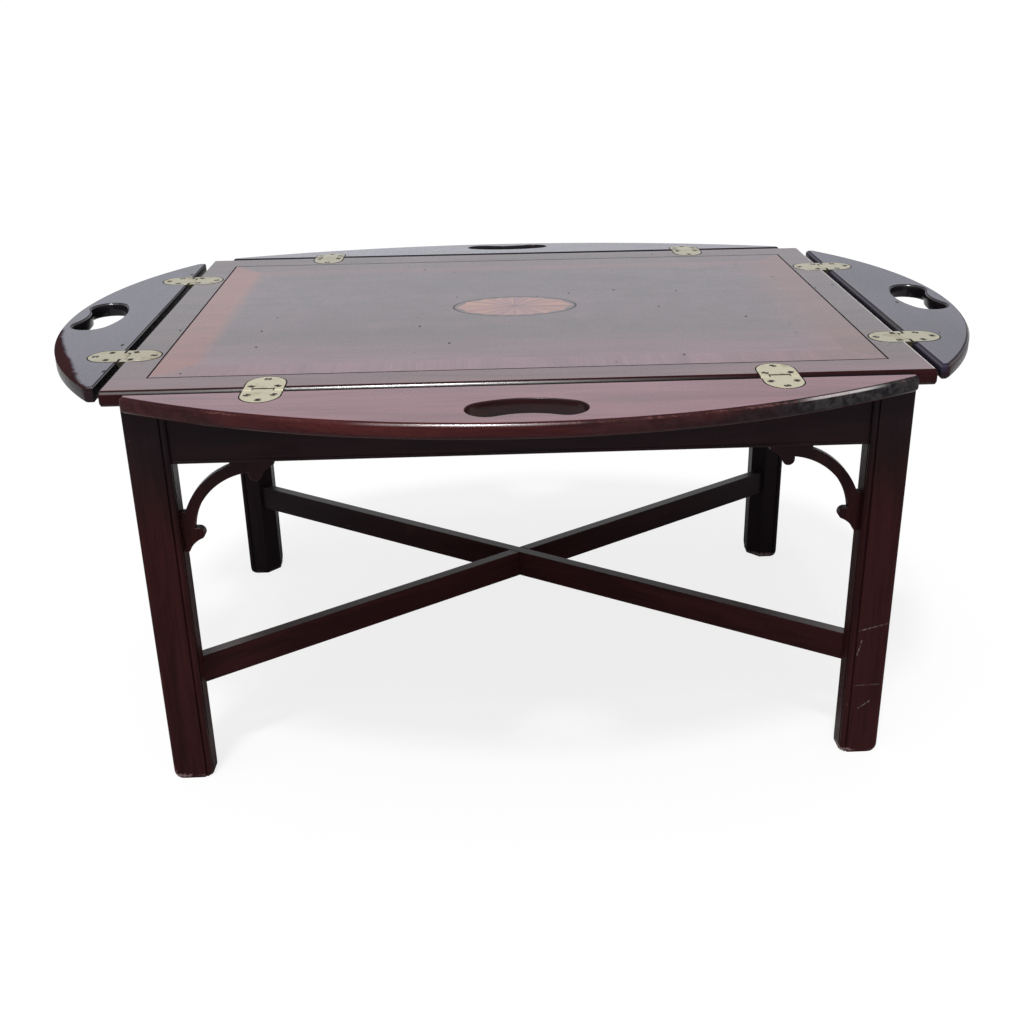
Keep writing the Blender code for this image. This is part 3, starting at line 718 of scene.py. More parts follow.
@shared("knocks", Vector=ORIGIN, Density=17.0)
def knocks(given):
    """Sparse small dents and thin scratches on a level face."""
    place = given["Vector"]
    drawn = place.vector_sum("MULTIPLY", (1.0, 0.5, 1.0))
    cells = add(given.tree, "ShaderNodeTexVoronoi", {"Vector": drawn, "Scale": given["Density"]},
                voronoi_dimensions="2D")
    luck = add(given.tree, "ShaderNodeSeparateColor", {0: cells["Color"]})
    ragged = cells["Distance"] + place.noise(420.0, 1.0) * 0.05
    spot = (luck[1].fade(0.0, 1.0, 0.028, 0.070) - ragged).fade(0.0, 0.014)
    rich = place.noise(5.0).fade(0.42, 0.60, 0.84, 0.56)
    turned = add(given.tree, "ShaderNodeMapping", {"Vector": place, "Rotation": (0, 0, 0.42),
                                                   "Scale": (7.0, 520.0, 1.0)})
    lines = turned[0].noise(1.0, 1.0).fade(0.72, 0.78)
    return {"Dents": spot * luck[0].sum("GREATER_THAN", rich),
            "Scratches": lines * place.noise(9.0).fade(0.50, 0.66)}


@shared("rubbed edges", Vector=ORIGIN, Wear=0.0, Amount=0.5)
def rubbed_edges(given):
    """Wear along edges, broken up as hands and time break it up."""
    place = given["Vector"]
    broken = place.noise(26.0, 3.0) * 0.55 + place.noise(340.0, 3.0, 0.7) * 0.45
    level = broken + given["Wear"] * given["Amount"]
    return {"Mask": level.fade(0.86, 1.08).sum("MULTIPLY", given["Wear"], True)}


@shared("scratch", Vector=ORIGIN, Start=ORIGIN, Way=ORIGIN, Width=0.001)
def scratch(given):
    """A straight thin scratch: 1 on it, 0 beyond its width, by the distance to a line between two ends."""
    away = given["Vector"].vector_sum("SUBTRACT", given["Start"])
    done, whole = (first.vector_sum("DOT_PRODUCT", given["Way"], "Value") for first in (away, given["Way"]))
    share = (done.sum("DIVIDE", whole) | 0.0).sum("MINIMUM", 1.0)
    nearest = add(given.tree, "ShaderNodeVectorMath", {0: given["Way"], "Scale": share}, operation="SCALE")[0]
    reach = away.vector_sum("DISTANCE", nearest, "Value")
    return {"Mask": reach.fade(given["Width"] * 0.4, given["Width"], 1.0, 0.0)}


@shared("old polish", Vector=ORIGIN, Sharp=0.2, Dull=0.4)
def old_polish(given):
    """Roughness of old polish: cloudy, with finger-rubbed patches."""
    both = given["Vector"].noise(7.0, 4.0, 0.6, 0.4) * 0.75 + given["Vector"].noise(160.0) * 0.25
    span = {0: both, 1: 0.35, 2: 0.65, 3: given["Sharp"], 4: given["Dull"]}
    return {"Roughness": add(given.tree, "ShaderNodeMapRange", span)[0]}


@shared("fan rays", Vector=ORIGIN, Rays=16.0, Aspect=1.0)
def fan_rays(given):
    """An oval fan of rays at even angles, with hollow ends whose tips lie on the joints.

    The vector runs from -1 to 1 over the oval. Aspect is the oval's height over its width.
    """
    x, y = given["Vector"].split()[:2]
    turn = (y * given["Aspect"]).sum("ARCTAN2", x)
    whole = turn.sum("DIVIDE", 2 * math.pi) * given["Rays"] + given["Rays"]
    across = whole.sum("FRACT")
    along = given["Vector"].vector_sum("MULTIPLY", (1, 1, 0)).vector_sum("LENGTH", ORIGIN, "Value")
    off_middle = abs(across - 0.5)
    tip = off_middle * off_middle * 0.36 + 0.865
    gap = (off_middle * -1.0 + 0.5) * along
    tone = add(given.tree, "ShaderNodeTexWhiteNoise", {"W": whole.sum("FLOOR")}, noise_dimensions="1D")
    return {"Across": across, "Inside": (tip - along).fade(-0.004, 0.004), "Along": along,
            "Joints": gap.fade(0.010, 0.030, 1.0, 0.0), "Tone": tone["Value"]}


# Materials


class Surface:
    """A new material: its nodes, its shader and the place on the piece."""

    def __init__(self, name):
        self.material = bpy.data.materials.new(name)
        self.material.use_nodes = True
        self.tree = self.material.node_tree
        place = add(self.tree, "ShaderNodeTexCoord")
        self.place = place["Object"]
        self.x, self.y, self.z = self.place.split()
        self.up = place["Normal"].split()[2]

    def feed(self, feeds):
        """Give the shader's sockets their values."""
        feed(self.tree, self.tree.nodes["Principled BSDF"].inputs, feeds)

    def mark(self, label):
        """A value kept with the piece's points."""
        return add(self.tree, "ShaderNodeAttribute", attribute_name=label)["Fac"]

    def turned(self, turn):
        """The place on the piece, turned so that the grain runs along X."""
        return add(self.tree, "ShaderNodeMapping", {"Vector": self.place, "Rotation": turn})[0]

    def grain(self, turn, dark, light):
        """The shared grain between two colours."""
        return wood_grain(self.tree, Vector=self.turned(turn), Dark=dark, Light=light)

    def facing_up(self, low=0.25, high=0.80):
        """1 on faces that look up when the piece is at rest, 0 where they lean further than the low bound."""
        return self.up.fade(low, high)

    def flat(self):
        """1 on the level face alone."""
        return self.facing_up(0.93, 0.995)

    def rubbed(self, amount):
        """Mask of the worn edges."""
        return rubbed_edges(self.tree, Vector=self.place, Wear=self.mark("wear"), Amount=amount)["Mask"]

    def polish(self, sharp, dull):
        """Polish the surface; gives the roughness."""
        rough = old_polish(self.tree, Vector=self.place, Sharp=sharp, Dull=dull)["Roughness"]
        self.feed({"Roughness": rough})
        return rough

    def bump(self, height, strength, distance):
        """Raise the surface by a height."""
        feeds = {"Height": height, "Strength": strength, "Distance": distance}
        self.feed({"Normal": add(self.tree, "ShaderNodeBump", feeds)[0]})


def kept(build):
    """Make a function that builds a material give back the one that already has its name."""
    def get(name, *more, **options):
        return bpy.data.materials.get(name) or build(name, *more, **options)
    get.__doc__ = build.__doc__
    return get


@kept
def stand_wood(name, turn):
    """Dark mahogany of the stand: sooty under the top, chipped, scuffed and bare along worn edges."""
    wood = Surface(name)
    grain = wood.grain(turn, "stand_dark", "stand_light")
    height, depth = LEG_HIGH.z, LEG_HIGH.y
    # Painted shade: darker under the top and towards the back
    under_top = wood.z.fade(height * 0.62, height * 0.95, 0.0, 0.7)
    shaded = under_top | wood.y.fade(depth * -0.2, depth * 0.9, 0.0, 0.75)
    tone = shaded.mix(grain["Color"], "stand_painted_shade")
    rubbed = wood.rubbed(amount=0.42)
    scratches = knocks(wood.tree, Vector=wood.turned(turn), Density=9.0)["Scratches"]
    chips = wood.place.noise(70.0, 4.0, 0.7).fade(0.715, 0.745)
    bared = (rubbed * 0.85 | chips * 0.6 | scratches * 0.55).mix(tone, "worn")
    # Pale on upward faces, more towards the front: partly dust, partly painted sheen
    dust_and_sheen = wood.facing_up(0.80, 0.95) * wood.y.fade(depth * -0.95, depth * -0.2, 0.16, 0.0)
    pale = rubbed * wood.z.fade(0.006, 0.016, 0.35, 0.0) | dust_and_sheen
    broken = wood.place.noise(260.0, 3.0).fade(0.35, 0.65)
    for start, way, strength in SCRATCHES:
        stroke = scratch(wood.tree, Vector=wood.place, Start=start, Way=way, Width=SCRATCH_WIDTH)["Mask"]
        pale = pale | stroke * strength * broken
    wood.polish(sharp=0.30, dull=0.48)
    wood.feed({"Base Color": pale.mix(bared, "scrape_and_highlight"), "Coat Weight": wood.facing_up() * 0.6,
               "Coat Roughness": 0.35, "Specular IOR Level": 0.03})
    wood.bump(grain["Height"], strength=0.35, distance=0.0002)
    return wood.material


def lit_arris(top, wall):
    """Where polish is left on the arrises: the tray's front, the front leaf and the side leaves."""
    arris = top.facing_up(0.54, 0.64) * ~top.facing_up(0.70, 0.77)
    on_tray = (TRAY_LOW.y * 1.025, TRAY_LOW.y * 1.005)
    from_left = top.x - top.y.fade(*on_tray, -0.17, -0.50)
    from_right = top.y.fade(*on_tray, 0.06, 0.24) - top.x
    lit = from_right.sum("DIVIDE", top.y.fade(*on_tray, 0.05, 0.22), True) * from_left.fade(0.0, 0.05)
    in_front = top.y.sum("LESS_THAN", 0.0).sum("SUBTRACT", wall, True)
    beside = abs(top.x).sum("GREATER_THAN", TRAY_HIGH.x)
    return arris * (lit * in_front | beside * wall.fade(0.0, 1.0, 0.5, 1.0))


def finish_top(top, wood, height, gloss=1.0, density=30.0):
    """Wear, knocks and polish on a piece of the top; gives the roughness of the polish.

    Old polish lies thick on the upper face, a little thinner towards the back and right. It is gone from
    the sides, apart from the lit arrises and the hand holes.
    """
    level = top.facing_up(0.97, 0.997)
    wall = top.mark("wall")
    marks = knocks(top.tree, Vector=top.place, Density=density)
    dents = marks["Dents"] * level
    bared = (top.rubbed(amount=0.40) * 0.75 | marks["Scratches"] * 0.35).mix(wood, "worn")
    # Painted shade on the hand holes' walls, lighter on the front leaf, whose far wall faces the light
    dark_side = wall * top.y.fade(TRAY_LOW.y * 1.3, TRAY_LOW.y, 0.45, 0.85)
    thin = top.y.fade(TRAY_LOW.y / 3, TRAY_HIGH.y, 1.0, 0.90) * top.x.fade(0.0, TRAY_HIGH.x, 1.0, 0.94)
    mottled = top.place.noise(420.0, 3.0, 0.7).fade(0.25, 0.75, 0.88, 1.12)
    coat = (level | lit_arris(top, wall)) * (thin * mottled) * gloss | wall.fade(0.0, 1.0, 0.03, 0.22)
    rough = top.polish(sharp=0.24, dull=0.36)
    top.feed({"Base Color": dents.mix(dark_side.mix(bared, "gap"), "grime"),
              "Coat Weight": coat * ~dents, "Coat Roughness": 0.20, "Coat IOR": 1.6,
              "Specular IOR Level": 0.02})
    top.bump(height - dents * 2.0, strength=0.25, distance=0.0002)
    return rough


def sided_wood(piece, turn, top, rim):
    """Grain in a top's own colours above and in the rim's colours down its sides, dirty in the joints.

    Gives the colour and the grain's height.
    """
    grain = piece.grain(turn, *top)
    side = piece.grain(turn, *rim)["Color"]
    joint = settings("tray_table_leaves").gap
    across, along = abs(piece.x), abs(piece.y)
    for part, other, reach, length in ((across, along, TRAY_HIGH.x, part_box("leaf_left")[1].y),
                                       (along, across, TRAY_HIGH.y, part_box("leaf_front")[1].x)):
        # Painted shade on the sides that face each other across a joint gap
        middle = abs(part - (reach + joint / 2))
        dirty = middle.fade(joint * 0.55, joint * 0.75, 0.92, 0.0) * other.sum("LESS_THAN", length)
        side = dirty.mix(side, "gap")
    return piece.flat().mix(side, grain["Color"]), grain["Height"]


def border_wood():
    """Border of the tray, bleached towards the front of the table, with a pale arris on the right."""
    wood = Surface("tray border")
    tone, height = sided_wood(wood, ALONG_X, ("border_dark", "border_light"), ("stand_dark", "rim_dark"))
    flat = wood.flat()
    # Painted light: the front leaf's lighter colours laid on the border towards the front
    pale = wood.grain(ALONG_X, "front_dark", "front_light")["Color"]
    front = TRAY_LOW.y
    tone = (wood.y.fade(front + 0.02, front + 0.09, 0.40, 0.0) * flat).mix(tone, pale)
    # Painted highlight: a pale broken line on the level face beside the right arris
    ease = settings("tray_table_tray").ease
    arris = TRAY_HIGH.x - ease * CRISP_SHARE
    painted_highlight = wood.x.fade(arris - 0.0016, arris - 0.0008) * wood.y.fade(front + ease, front + 2 * ease)
    broken = wood.place.noise(90.0, 3.0, 0.6).fade(0.30, 0.60, 0.35, 1.0)
    finish_top(wood, (painted_highlight * broken * flat).mix(tone, "scrape_and_highlight"), height, gloss=0.94)
    return wood.material


def leaf_wood(name, top, rim, gloss):
    """Polished wood of the back leaf: glossy above and dull down its sides."""
    leaf = Surface(name)
    wood, height = sided_wood(leaf, ALONG_X, top, rim)
    finish_top(leaf, wood, height, gloss, LEAF_KNOCKS)
    return leaf.material


def rolled_leaf_wood(name, top, rim, gloss):
    """Wood of the right leaf, clean round its joint edge down to where the joint is dark."""
    leaf = Surface(name)
    wood, height = sided_wood(leaf, ALONG_Y, top, rim)
    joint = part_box("leaf_right")[0].x
    # The joint's painted shade stops short of the rolled edge, which takes a grey-blue colour
    rolled = leaf.x.fade(joint + 0.005, joint + 0.008, 1.0, 0.0) * leaf.z.fade(TOP - 0.010, TOP - 0.004)
    clean = leaf.grain(ALONG_Y, "bruise", top[1])["Color"]
    finish_top(leaf, rolled.mix(wood, clean), height, gloss, LEAF_KNOCKS)
    return leaf.material


def bruised_leaf_wood(name, top, rim, gloss):
    """Wood of the front leaf: its rim is dark low down and bruised on the right, its arris scraped pale."""
    leaf = Surface(name)
    wood, height = sided_wood(leaf, ALONG_X, top, rim)
    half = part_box("leaf_front")[1].x
    low_down = (TOP - 0.015, TOP - 0.010)
    spread = leaf.x - leaf.place.noise(30.0, 4.0, 0.65) * 0.16
    bruise = spread.fade(half * -0.18, half * 0.04, 0.0, 0.50)
    bruise = bruise + spread.fade(half * 0.20, half * 0.48, 0.0, 0.50)
    bruise = bruise | leaf.x.fade(half * -0.90, half * -0.45, 0.45, 0.0) | leaf.z.fade(*low_down, 0.70, 0.0)
    bruise = bruise * (leaf.facing_up(-0.95, -0.60) - leaf.flat())
    clouds = leaf.place.noise(110.0, 4.0, 0.65).fade(0.35, 0.70)
    grey = clouds * leaf.x.fade(half * 0.58, half * 0.74, 0.40, 1.40)
    grey = grey.sum("MULTIPLY", leaf.z.fade(*low_down, 0.20, 1.0), True)
    marked = bruise.mix(wood, grey.mix("gap", "bruise"))
    # Painted highlight: a pale line along the worn arris towards the right end
    span = leaf.x.fade(half * 0.64, half * 0.72) * leaf.x.fade(half * 0.82, half * 0.92, 1.0, 0.0)
    marked = (leaf.mark("wear").fade(0.70, 0.95) * span).mix(marked, "scrape_and_highlight")
    thin = leaf.x.fade(half * 0.2, half * 0.6, gloss, gloss * 0.88)
    finish_top(leaf, marked, height, thin, LEAF_KNOCKS)
    return leaf.material


def rubbed_leaf_wood(name, top, rim, gloss):
    """Wood of the left leaf, whose polish is rubbed off in a ragged patch along the front of its rim.

    The patch is found by the distance to the centre of the rim's arc, and is deepest in its middle.
    """
    leaf = Surface(name)
    wood, height = sided_wood(leaf, ALONG_Y, top, rim)
    low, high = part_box("leaf_left")
    rise = high.x - low.x - settings("tray_table_leaves").end
    radius = (high.y ** 2 + rise ** 2) / (2 * rise)
    spot = leaf.place.vector_sum("DISTANCE", (low.x + radius, 0.0, TOP), "Value")
    from_rim = spot * -1.0 + radius + leaf.place.noise(60.0, 5.0, 0.7) * 0.010
    end = -high.y
    reach = leaf.y.fade(end * 0.62, end * 0.15, 0.020, 0.011) * leaf.y.fade(end, end * 0.70, 0.5, 1.0)
    patch = (reach - from_rim).fade(-0.001, 0.006) * leaf.y.fade(end * 0.24, end * 0.16, 1.0, 0.0)
    patch = patch * leaf.facing_up(0.15, 0.5)
    red = leaf.grain(ALONG_Y, "stand_dark", "stand_light")["Color"]
    thin = patch.fade(0.0, 1.0, 1.0, 0.0) * gloss
    rough = finish_top(leaf, patch.mix(wood, red), height, thin, LEAF_KNOCKS)
    leaf.feed({"Roughness": rough | patch * 0.9})
    return leaf.material


def field_wood():
    """Field veneer, stained by the banding along three edges and bleached pink in front."""
    field = Surface("field veneer")
    grain = field.grain(ALONG_X, "field_dark", "field_light")
    tint = field.grain(ALONG_X, "tint_dark", "tint_light")["Color"]
    band = field.grain(ALONG_X, "band_dark", "band_light")["Color"]
    low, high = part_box("field_veneer")
    across = field.x - field.place.noise(40.0, 4.0, 0.6) * 0.012
    near = field.y.fade(low.y - 0.01, low.y + 0.11, 0.75, 0.0)
    pink = near | field.place.noise(34.0, 3.0, 0.6).fade(0.42, 0.72, 0.0, 0.24)
    stain = across.fade(low.x - 0.010, low.x + 0.010, 1.0, 0.0)
    stain = stain | across.fade(high.x - 0.06, high.x, 0.0, 0.40)
    stain = stain | field.y.fade(high.y - 0.04, high.y, 0.0, 0.40)
    finish_top(field, stain.mix(pink.mix(grain["Color"], tint), band), grain["Height"])
    return field.material


def band_wood():
    """Crossbanding: grain across the band, pink at the left end, mauve in front and faded elsewhere."""
    band = Surface("crossband veneer")
    low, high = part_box("crossband")
    at_end = (abs(band.x) * -1.0 + high.x).sum("LESS_THAN", abs(band.y) * -1.0 + high.y)
    vector = add(band.tree, "ShaderNodeMix", {0: at_end, 4: band.turned(ALONG_Y), 5: band.turned(ALONG_X)},
                 data_type="VECTOR")[1]
    grain, plain, mauve = (wood_grain(band.tree, Vector=vector, Dark=f"{name}_dark", Light=f"{name}_light")
                           for name in ("band", "field", "tint"))
    along = ~at_end
    front = along * band.y.sum("LESS_THAN", 0.0)
    middle = band.x.fade(low.x, low.x * 0.5, 0.35, 0.95) * band.x.fade(high.x * 0.4, high.x * 0.9, 1.0, 0.3)
    paler = along * band.y.fade(low.y * 0.5, high.y * 0.5, 0.45, 0.88)
    faded = paler | band.x.fade(0.0, high.x * 0.6, 0.0, 0.50)
    tone = (front * middle).mix(faded.mix(grain["Color"], plain["Color"]), mauve["Color"])
    finish_top(band, tone, grain["Height"], gloss=0.98)
    return band.material


def fan_wood(rays):
    """Satinwood rays scorched along one side and pink in the middle, on a dark oval."""
    veneer = Surface("fan veneer")
    low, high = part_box("fan_inlay")
    half = (high - low) / 2
    middle = (high + low) / 2
    oval = add(veneer.tree, "ShaderNodeMapping", {"Vector": veneer.place,
                                                  "Location": (-middle.x / half.x, -middle.y / half.y, 0.0),
                                                  "Scale": (1 / half.x, 1 / half.y, 0.0)})[0]
    fan = fan_rays(veneer.tree, Vector=oval, Rays=float(rays), Aspect=half.y / half.x)
    grain = veneer.grain(ALONG_X, "field_dark", "field_light")
    fibre = veneer.place.vector_sum("MULTIPLY", (60.0, 900.0, 1.0)).noise(1.0, 2.0)
    scorch = fan["Across"].fade(0.05, 0.95, 0.0, 0.45) + fan["Tone"] * 0.5
    scorch = scorch.sum("ADD", (fibre - 0.5) * 0.45, True)
    ray = scorch.mix("ray_light", "ray_dark")
    ray = abs(oval.split()[0]).fade(0.10, 0.55, 0.50, 0.0).mix(ray, "tint_light")
    jointed = (fan["Joints"] * 0.75).mix(ray, "field_dark")
    line = fan["Along"].fade(0.955, 0.975, 0.0, 0.7)
    wood = fan["Inside"].mix(line.mix(grain["Color"], "string"), jointed)
    gloss = (line | fan["Joints"] * 0.3).fade(0.0, 1.0, 0.95, 0.2)
    finish_top(veneer, wood, fibre - fan["Joints"], gloss)
    return veneer.material


def string_wood():
    """Ebonised stringing, with brown showing where it is rubbed."""
    veneer = Surface("stringing ebony")
    mottled = veneer.place.noise(60.0, 3.0)
    tone = mottled.fade(0.50, 0.80, 0.0, 0.4).mix("string", "field_light")
    veneer.polish(sharp=0.40, dull=0.60)
    veneer.feed({"Base Color": tone, "Specular IOR Level": 0.0})
    veneer.bump(mottled, strength=0.2, distance=0.0001)
    return veneer.material


def hidden_wood():
    """Plain paler wood under the tray and inside the stand."""
    wood = Surface("hidden wood")
    grain = wood.grain(ALONG_Y, "hidden_dark", "hidden_light")
    wood.polish(sharp=0.55, dull=0.75)
    wood.feed({"Base Color": grain["Color"], "Specular IOR Level": 0.2})
    wood.bump(grain["Height"], strength=0.5, distance=0.0003)
    return wood.material


@kept
def brass_metal(name, clear, clean):
    """Brass, rubbed clear on level faces, with brown tarnish in clouds and dirt down its sides."""
    brass = Surface(name)
    clouds = brass.place.noise(55.0, 4.0, 0.6, 0.3)
    fine = brass.place.noise(700.0)
    stain = clouds.fade(clean - 0.12, clean + 0.20)
    tone = (fine.fade(0.56, 0.70) * 0.45).mix(stain.mix(clear, "tarnish"), "tarnish")
    # Darker down the sides and where marked; screw heads are marked with their dirt and painted shade
    dirt = brass.mark("dirt") | ~brass.facing_up(0.35, 0.75) * 0.85
    brass.feed({"Base Color": dirt.mix(tone, "grime"), "Metallic": ~dirt,
                "Roughness": stain * 0.18 + fine * 0.12 + 0.30, "Specular IOR Level": 0.05})
    brass.bump(clouds + fine, strength=0.10, distance=0.0001)
    return brass.material


@kept
def grime_dirt(name):
    """Dark dirt packed into the seats round the hinges."""
    dirt = Surface(name)
    mottled = dirt.place.noise(300.0, 3.0)
    dirt.feed({"Base Color": mottled.fade(0.40, 0.80, 0.0, 0.5).mix("grime", "stand_light"),
               "Roughness": 0.85, "Specular IOR Level": 0.05})
    dirt.bump(mottled, strength=0.3, distance=0.0002)
    return dirt.material


# Operators


class Dressing(bpy.types.Operator):
    """What the table's operators share."""

    bl_options = {"REGISTER", "UNDO"}


class TRAYTABLE_OT_tray(Dressing):
    """Tray board with rounded edges and a shallow recess for the inlay"""

    bl_idname = "tray_table.tray"
    bl_label = "Tray Board"

    def outline(self, shape, inset):
        """The board's rectangle moved inwards by an inset in front and by a share of it elsewhere."""
        crisp = inset * CRISP_SHARE
        shift = (inset - crisp) / 2
        corner = max(shape.corner - inset, MERGE)
        return rectangle(TRAY_HIGH.x - crisp, TRAY_HIGH.y - crisp - shift, corner) + (0, shift)

    def execute(self, context):
        shape = settings("tray_table_tray")
        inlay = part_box("stringing")[1]
        insets, heights, worn = eased_edge(TRAY_LOW.z, TOP, shape.ease, BLUNT)
        edge = levelled([self.outline(shape, inset) for inset in insets], heights)
        recess = rectangle(inlay.x, inlay.y, MERGE)
        well = levelled((recess, recess), (TOP, TOP - shape.veneer))
        rings = np.concatenate((edge, well))
        wear = np.concatenate((worn * TRAY_WEAR, (0.0, 0.0)))[:, None]
        mesh = loft_mesh("tray_top", [rings], wear=wear)
        show(mesh, border_wood(), "tray", ["tray_board"])
        return {"FINISHED"}


class TRAYTABLE_OT_inlay(Dressing):
    """Stringing, crossbanding, field and fan, edge to edge in their recess"""

    bl_idname = "tray_table.inlay"
    bl_label = "Inlay"

    def execute(self, context):
        shape = settings("tray_table_tray")
        low = TOP - shape.veneer
        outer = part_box("stringing")[1]
        band = outer - Vector((shape.string, shape.string, 0))
        rims = [rectangle(reach.x, reach.y, SHARP) for reach in (outer, band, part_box("field_veneer")[1])]
        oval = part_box("fan_inlay")[1]
        ellipse = arc((0, 0), 1.0, 0, 360, OVAL_STEPS)[:-1] * (oval.x, oval.y)
        edges = (rims[2], ellipse)
        turns, firsts = zip(*(turns_round(points, (0.0, 0.0)) for points in edges))
        field = [read_at(*facing) for facing in zip(edges, firsts, facing_places(*turns))]
        for name, node, wood, (outside, inside) in (("string", "stringing", string_wood, rims[:2]),
                                                    ("band", "crossband", band_wood, rims[1:]),
                                                    ("field", "field_veneer", field_wood, field)):
            rings = levelled((outside, outside, inside, inside), (low, TOP, TOP, low))
            mesh = loft_mesh(f"inlay_{name}", [rings], closed=True)
            show(mesh, wood(), "tray", [node])
        fan = loft_mesh("inlay_fan", [levelled((ellipse, ellipse), (low, TOP))])
        show(fan, fan_wood(shape.rays), "tray", ["fan_inlay"])
        return {"FINISHED"}


class TRAYTABLE_OT_leaves(Dressing):
    """Folding leaves with an arched rim, a hand hole and worn round edges"""

    bl_idname = "tray_table.leaves"
    bl_label = "Leaves"

    def rim_outline(self, half, width, shape, inset):
        """Joint edge along X, short ends and an arched rim, all moved inwards by one inset.

        The rims of all insets are arcs about one centre, so each outline has the same count of points.
        """
        rise = width - shape.end
        radius = (half ** 2 + rise ** 2) / (2 * rise)
        side = half - inset
        lean = math.degrees(math.asin(side / (radius - inset)))
        rim = arc((0.0, width - radius), radius - inset, 90 - lean, 90 + lean, RIM_STEPS)
        corners = np.array(((-side, inset), (side, inset), rim[0], rim[1], rim[-2], rim[-1]))
        joint = max(shape.joint_corner - inset, MERGE)
        end = max(shape.corner - inset, MERGE)
        rounds = round_corners(corners, (joint, joint, end, MERGE, MERGE, end)).reshape(len(corners), -1, 2)
        return np.concatenate((*rounds[:3], rim[2:-2], rounds[5]))

    def hole_outline(self, shape, inset):
        """A bent slot widened by an inset: two arcs about one centre, joined by round ends."""
        half = shape.hole_width / 2 + inset
        chord = shape.hole_chord / 2
        radius = (chord ** 2 + shape.hole_bend ** 2) / (2 * shape.hole_bend)
        lean = math.degrees(math.asin(chord / radius))
        centre = (0.0, shape.hole_setback + radius)
        lobe = shape.hole_setback + shape.hole_bend
        runs = (arc(centre, radius + half, -90 - lean, -90 + lean, HOLE_STEPS),
                arc((chord, lobe), half, -90 + lean, 90 + lean, HOLE_STEPS),
                arc(centre, radius - half, -90 + lean, -90 - lean, HOLE_STEPS),
                arc((-chord, lobe), half, 90 - lean, 270 - lean, HOLE_STEPS))
        return np.concatenate([run[:-1] for run in runs])

    def leaf_rings(self, half, width, shape, low, high, ease, hole_ease, rubbed):
        """Rings that go up over the rim, across the top, down the hole and back underneath.

        Also how worn each ring is, and which rings are the wall of the hole.
        """
        middle = (0.0, shape.hole_setback)
        rim_turns, rim_first = turns_round(self.rim_outline(half, width, shape, 0.0), middle)
        hole_turns, hole_first = turns_round(self.hole_outline(shape, 0.0), middle)
        rim_places, hole_places = facing_places(rim_turns, hole_turns)
        insets, heights, worn = eased_edge(low, high, ease, BLUNT)
        outside = levelled([read_at(self.rim_outline(half, width, shape, inset), rim_first, rim_places)
                            for inset in insets], heights)
        insets, heights, unworn = eased_edge(low, high, hole_ease, BLUNT)
        inside = levelled([read_at(self.hole_outline(shape, inset), hole_first, hole_places)
                           for inset in insets[::-1]], heights[::-1])
        wear = np.concatenate((worn * rubbed, unworn * 0.0))[:, None]
        wall = (insets[::-1] < hole_ease * WALL_SHARE) * 1.0
        walls = np.concatenate((worn * 0.0, wall))[:, None]
        return np.concatenate((outside, inside)), wear, walls

    def wood(self, name):
        """Each leaf's own wood: bleached and bruised in front, bluish at the sides, rubbed at the left."""
        label = f"leaf {name}"
        red = ("rim_dark", "rim_light")
        dark_side = ("gap", "border_dark")
        # Blue tint of the side leaves: a painted reflection of the sky
        bluish = ("side_dark", "side_light")
        if name == "front":
            # Painted light: the front leaf's top colours are lighter than its rim, as if more strongly lit
            paler = ("front_dark", "front_light")
            return bruised_leaf_wood(label, paler, red, gloss=0.95)
        if name == "left":
            return rubbed_leaf_wood(label, bluish, dark_side, gloss=0.91)
        if name == "right":
            return rolled_leaf_wood(label, bluish, dark_side, gloss=0.80)
        return leaf_wood(label, ("back_dark", "back_light"), dark_side, gloss=0.97)

    def execute(self, context):
        shape = settings("tray_table_leaves")
        for name, turn, _ in SIDES:
            low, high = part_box("leaf_front" if is_long(turn) else "leaf_left")
            spread = (high - low) if is_long(turn) else (high - low).yxz
            matrix = leaf_matrix(name, turn)
            rise = TOP - matrix.translation.z
            ease = shape.ease if name in ("front", "right") else shape.crisp_ease
            hole_ease = shape.hole_ease if name in ("left", "right") else shape.crisp_hole
            rubbed = FRONT_WEAR if name == "front" else LEAF_WEAR
            rings, wear, walls = self.leaf_rings(spread.x / 2, spread.y, shape, rise - spread.z, rise,
                                                 ease, hole_ease, rubbed)
            rings = placed(rings + (0.0, shape.gap / 2, 0.0), matrix)
            mesh = loft_mesh(f"polished_leaf_{name}", [rings], closed=True, wear=wear, wall=walls)
            show(mesh, self.wood(name), f"{name}_leaf", [f"leaf_{name}"])
        return {"FINISHED"}


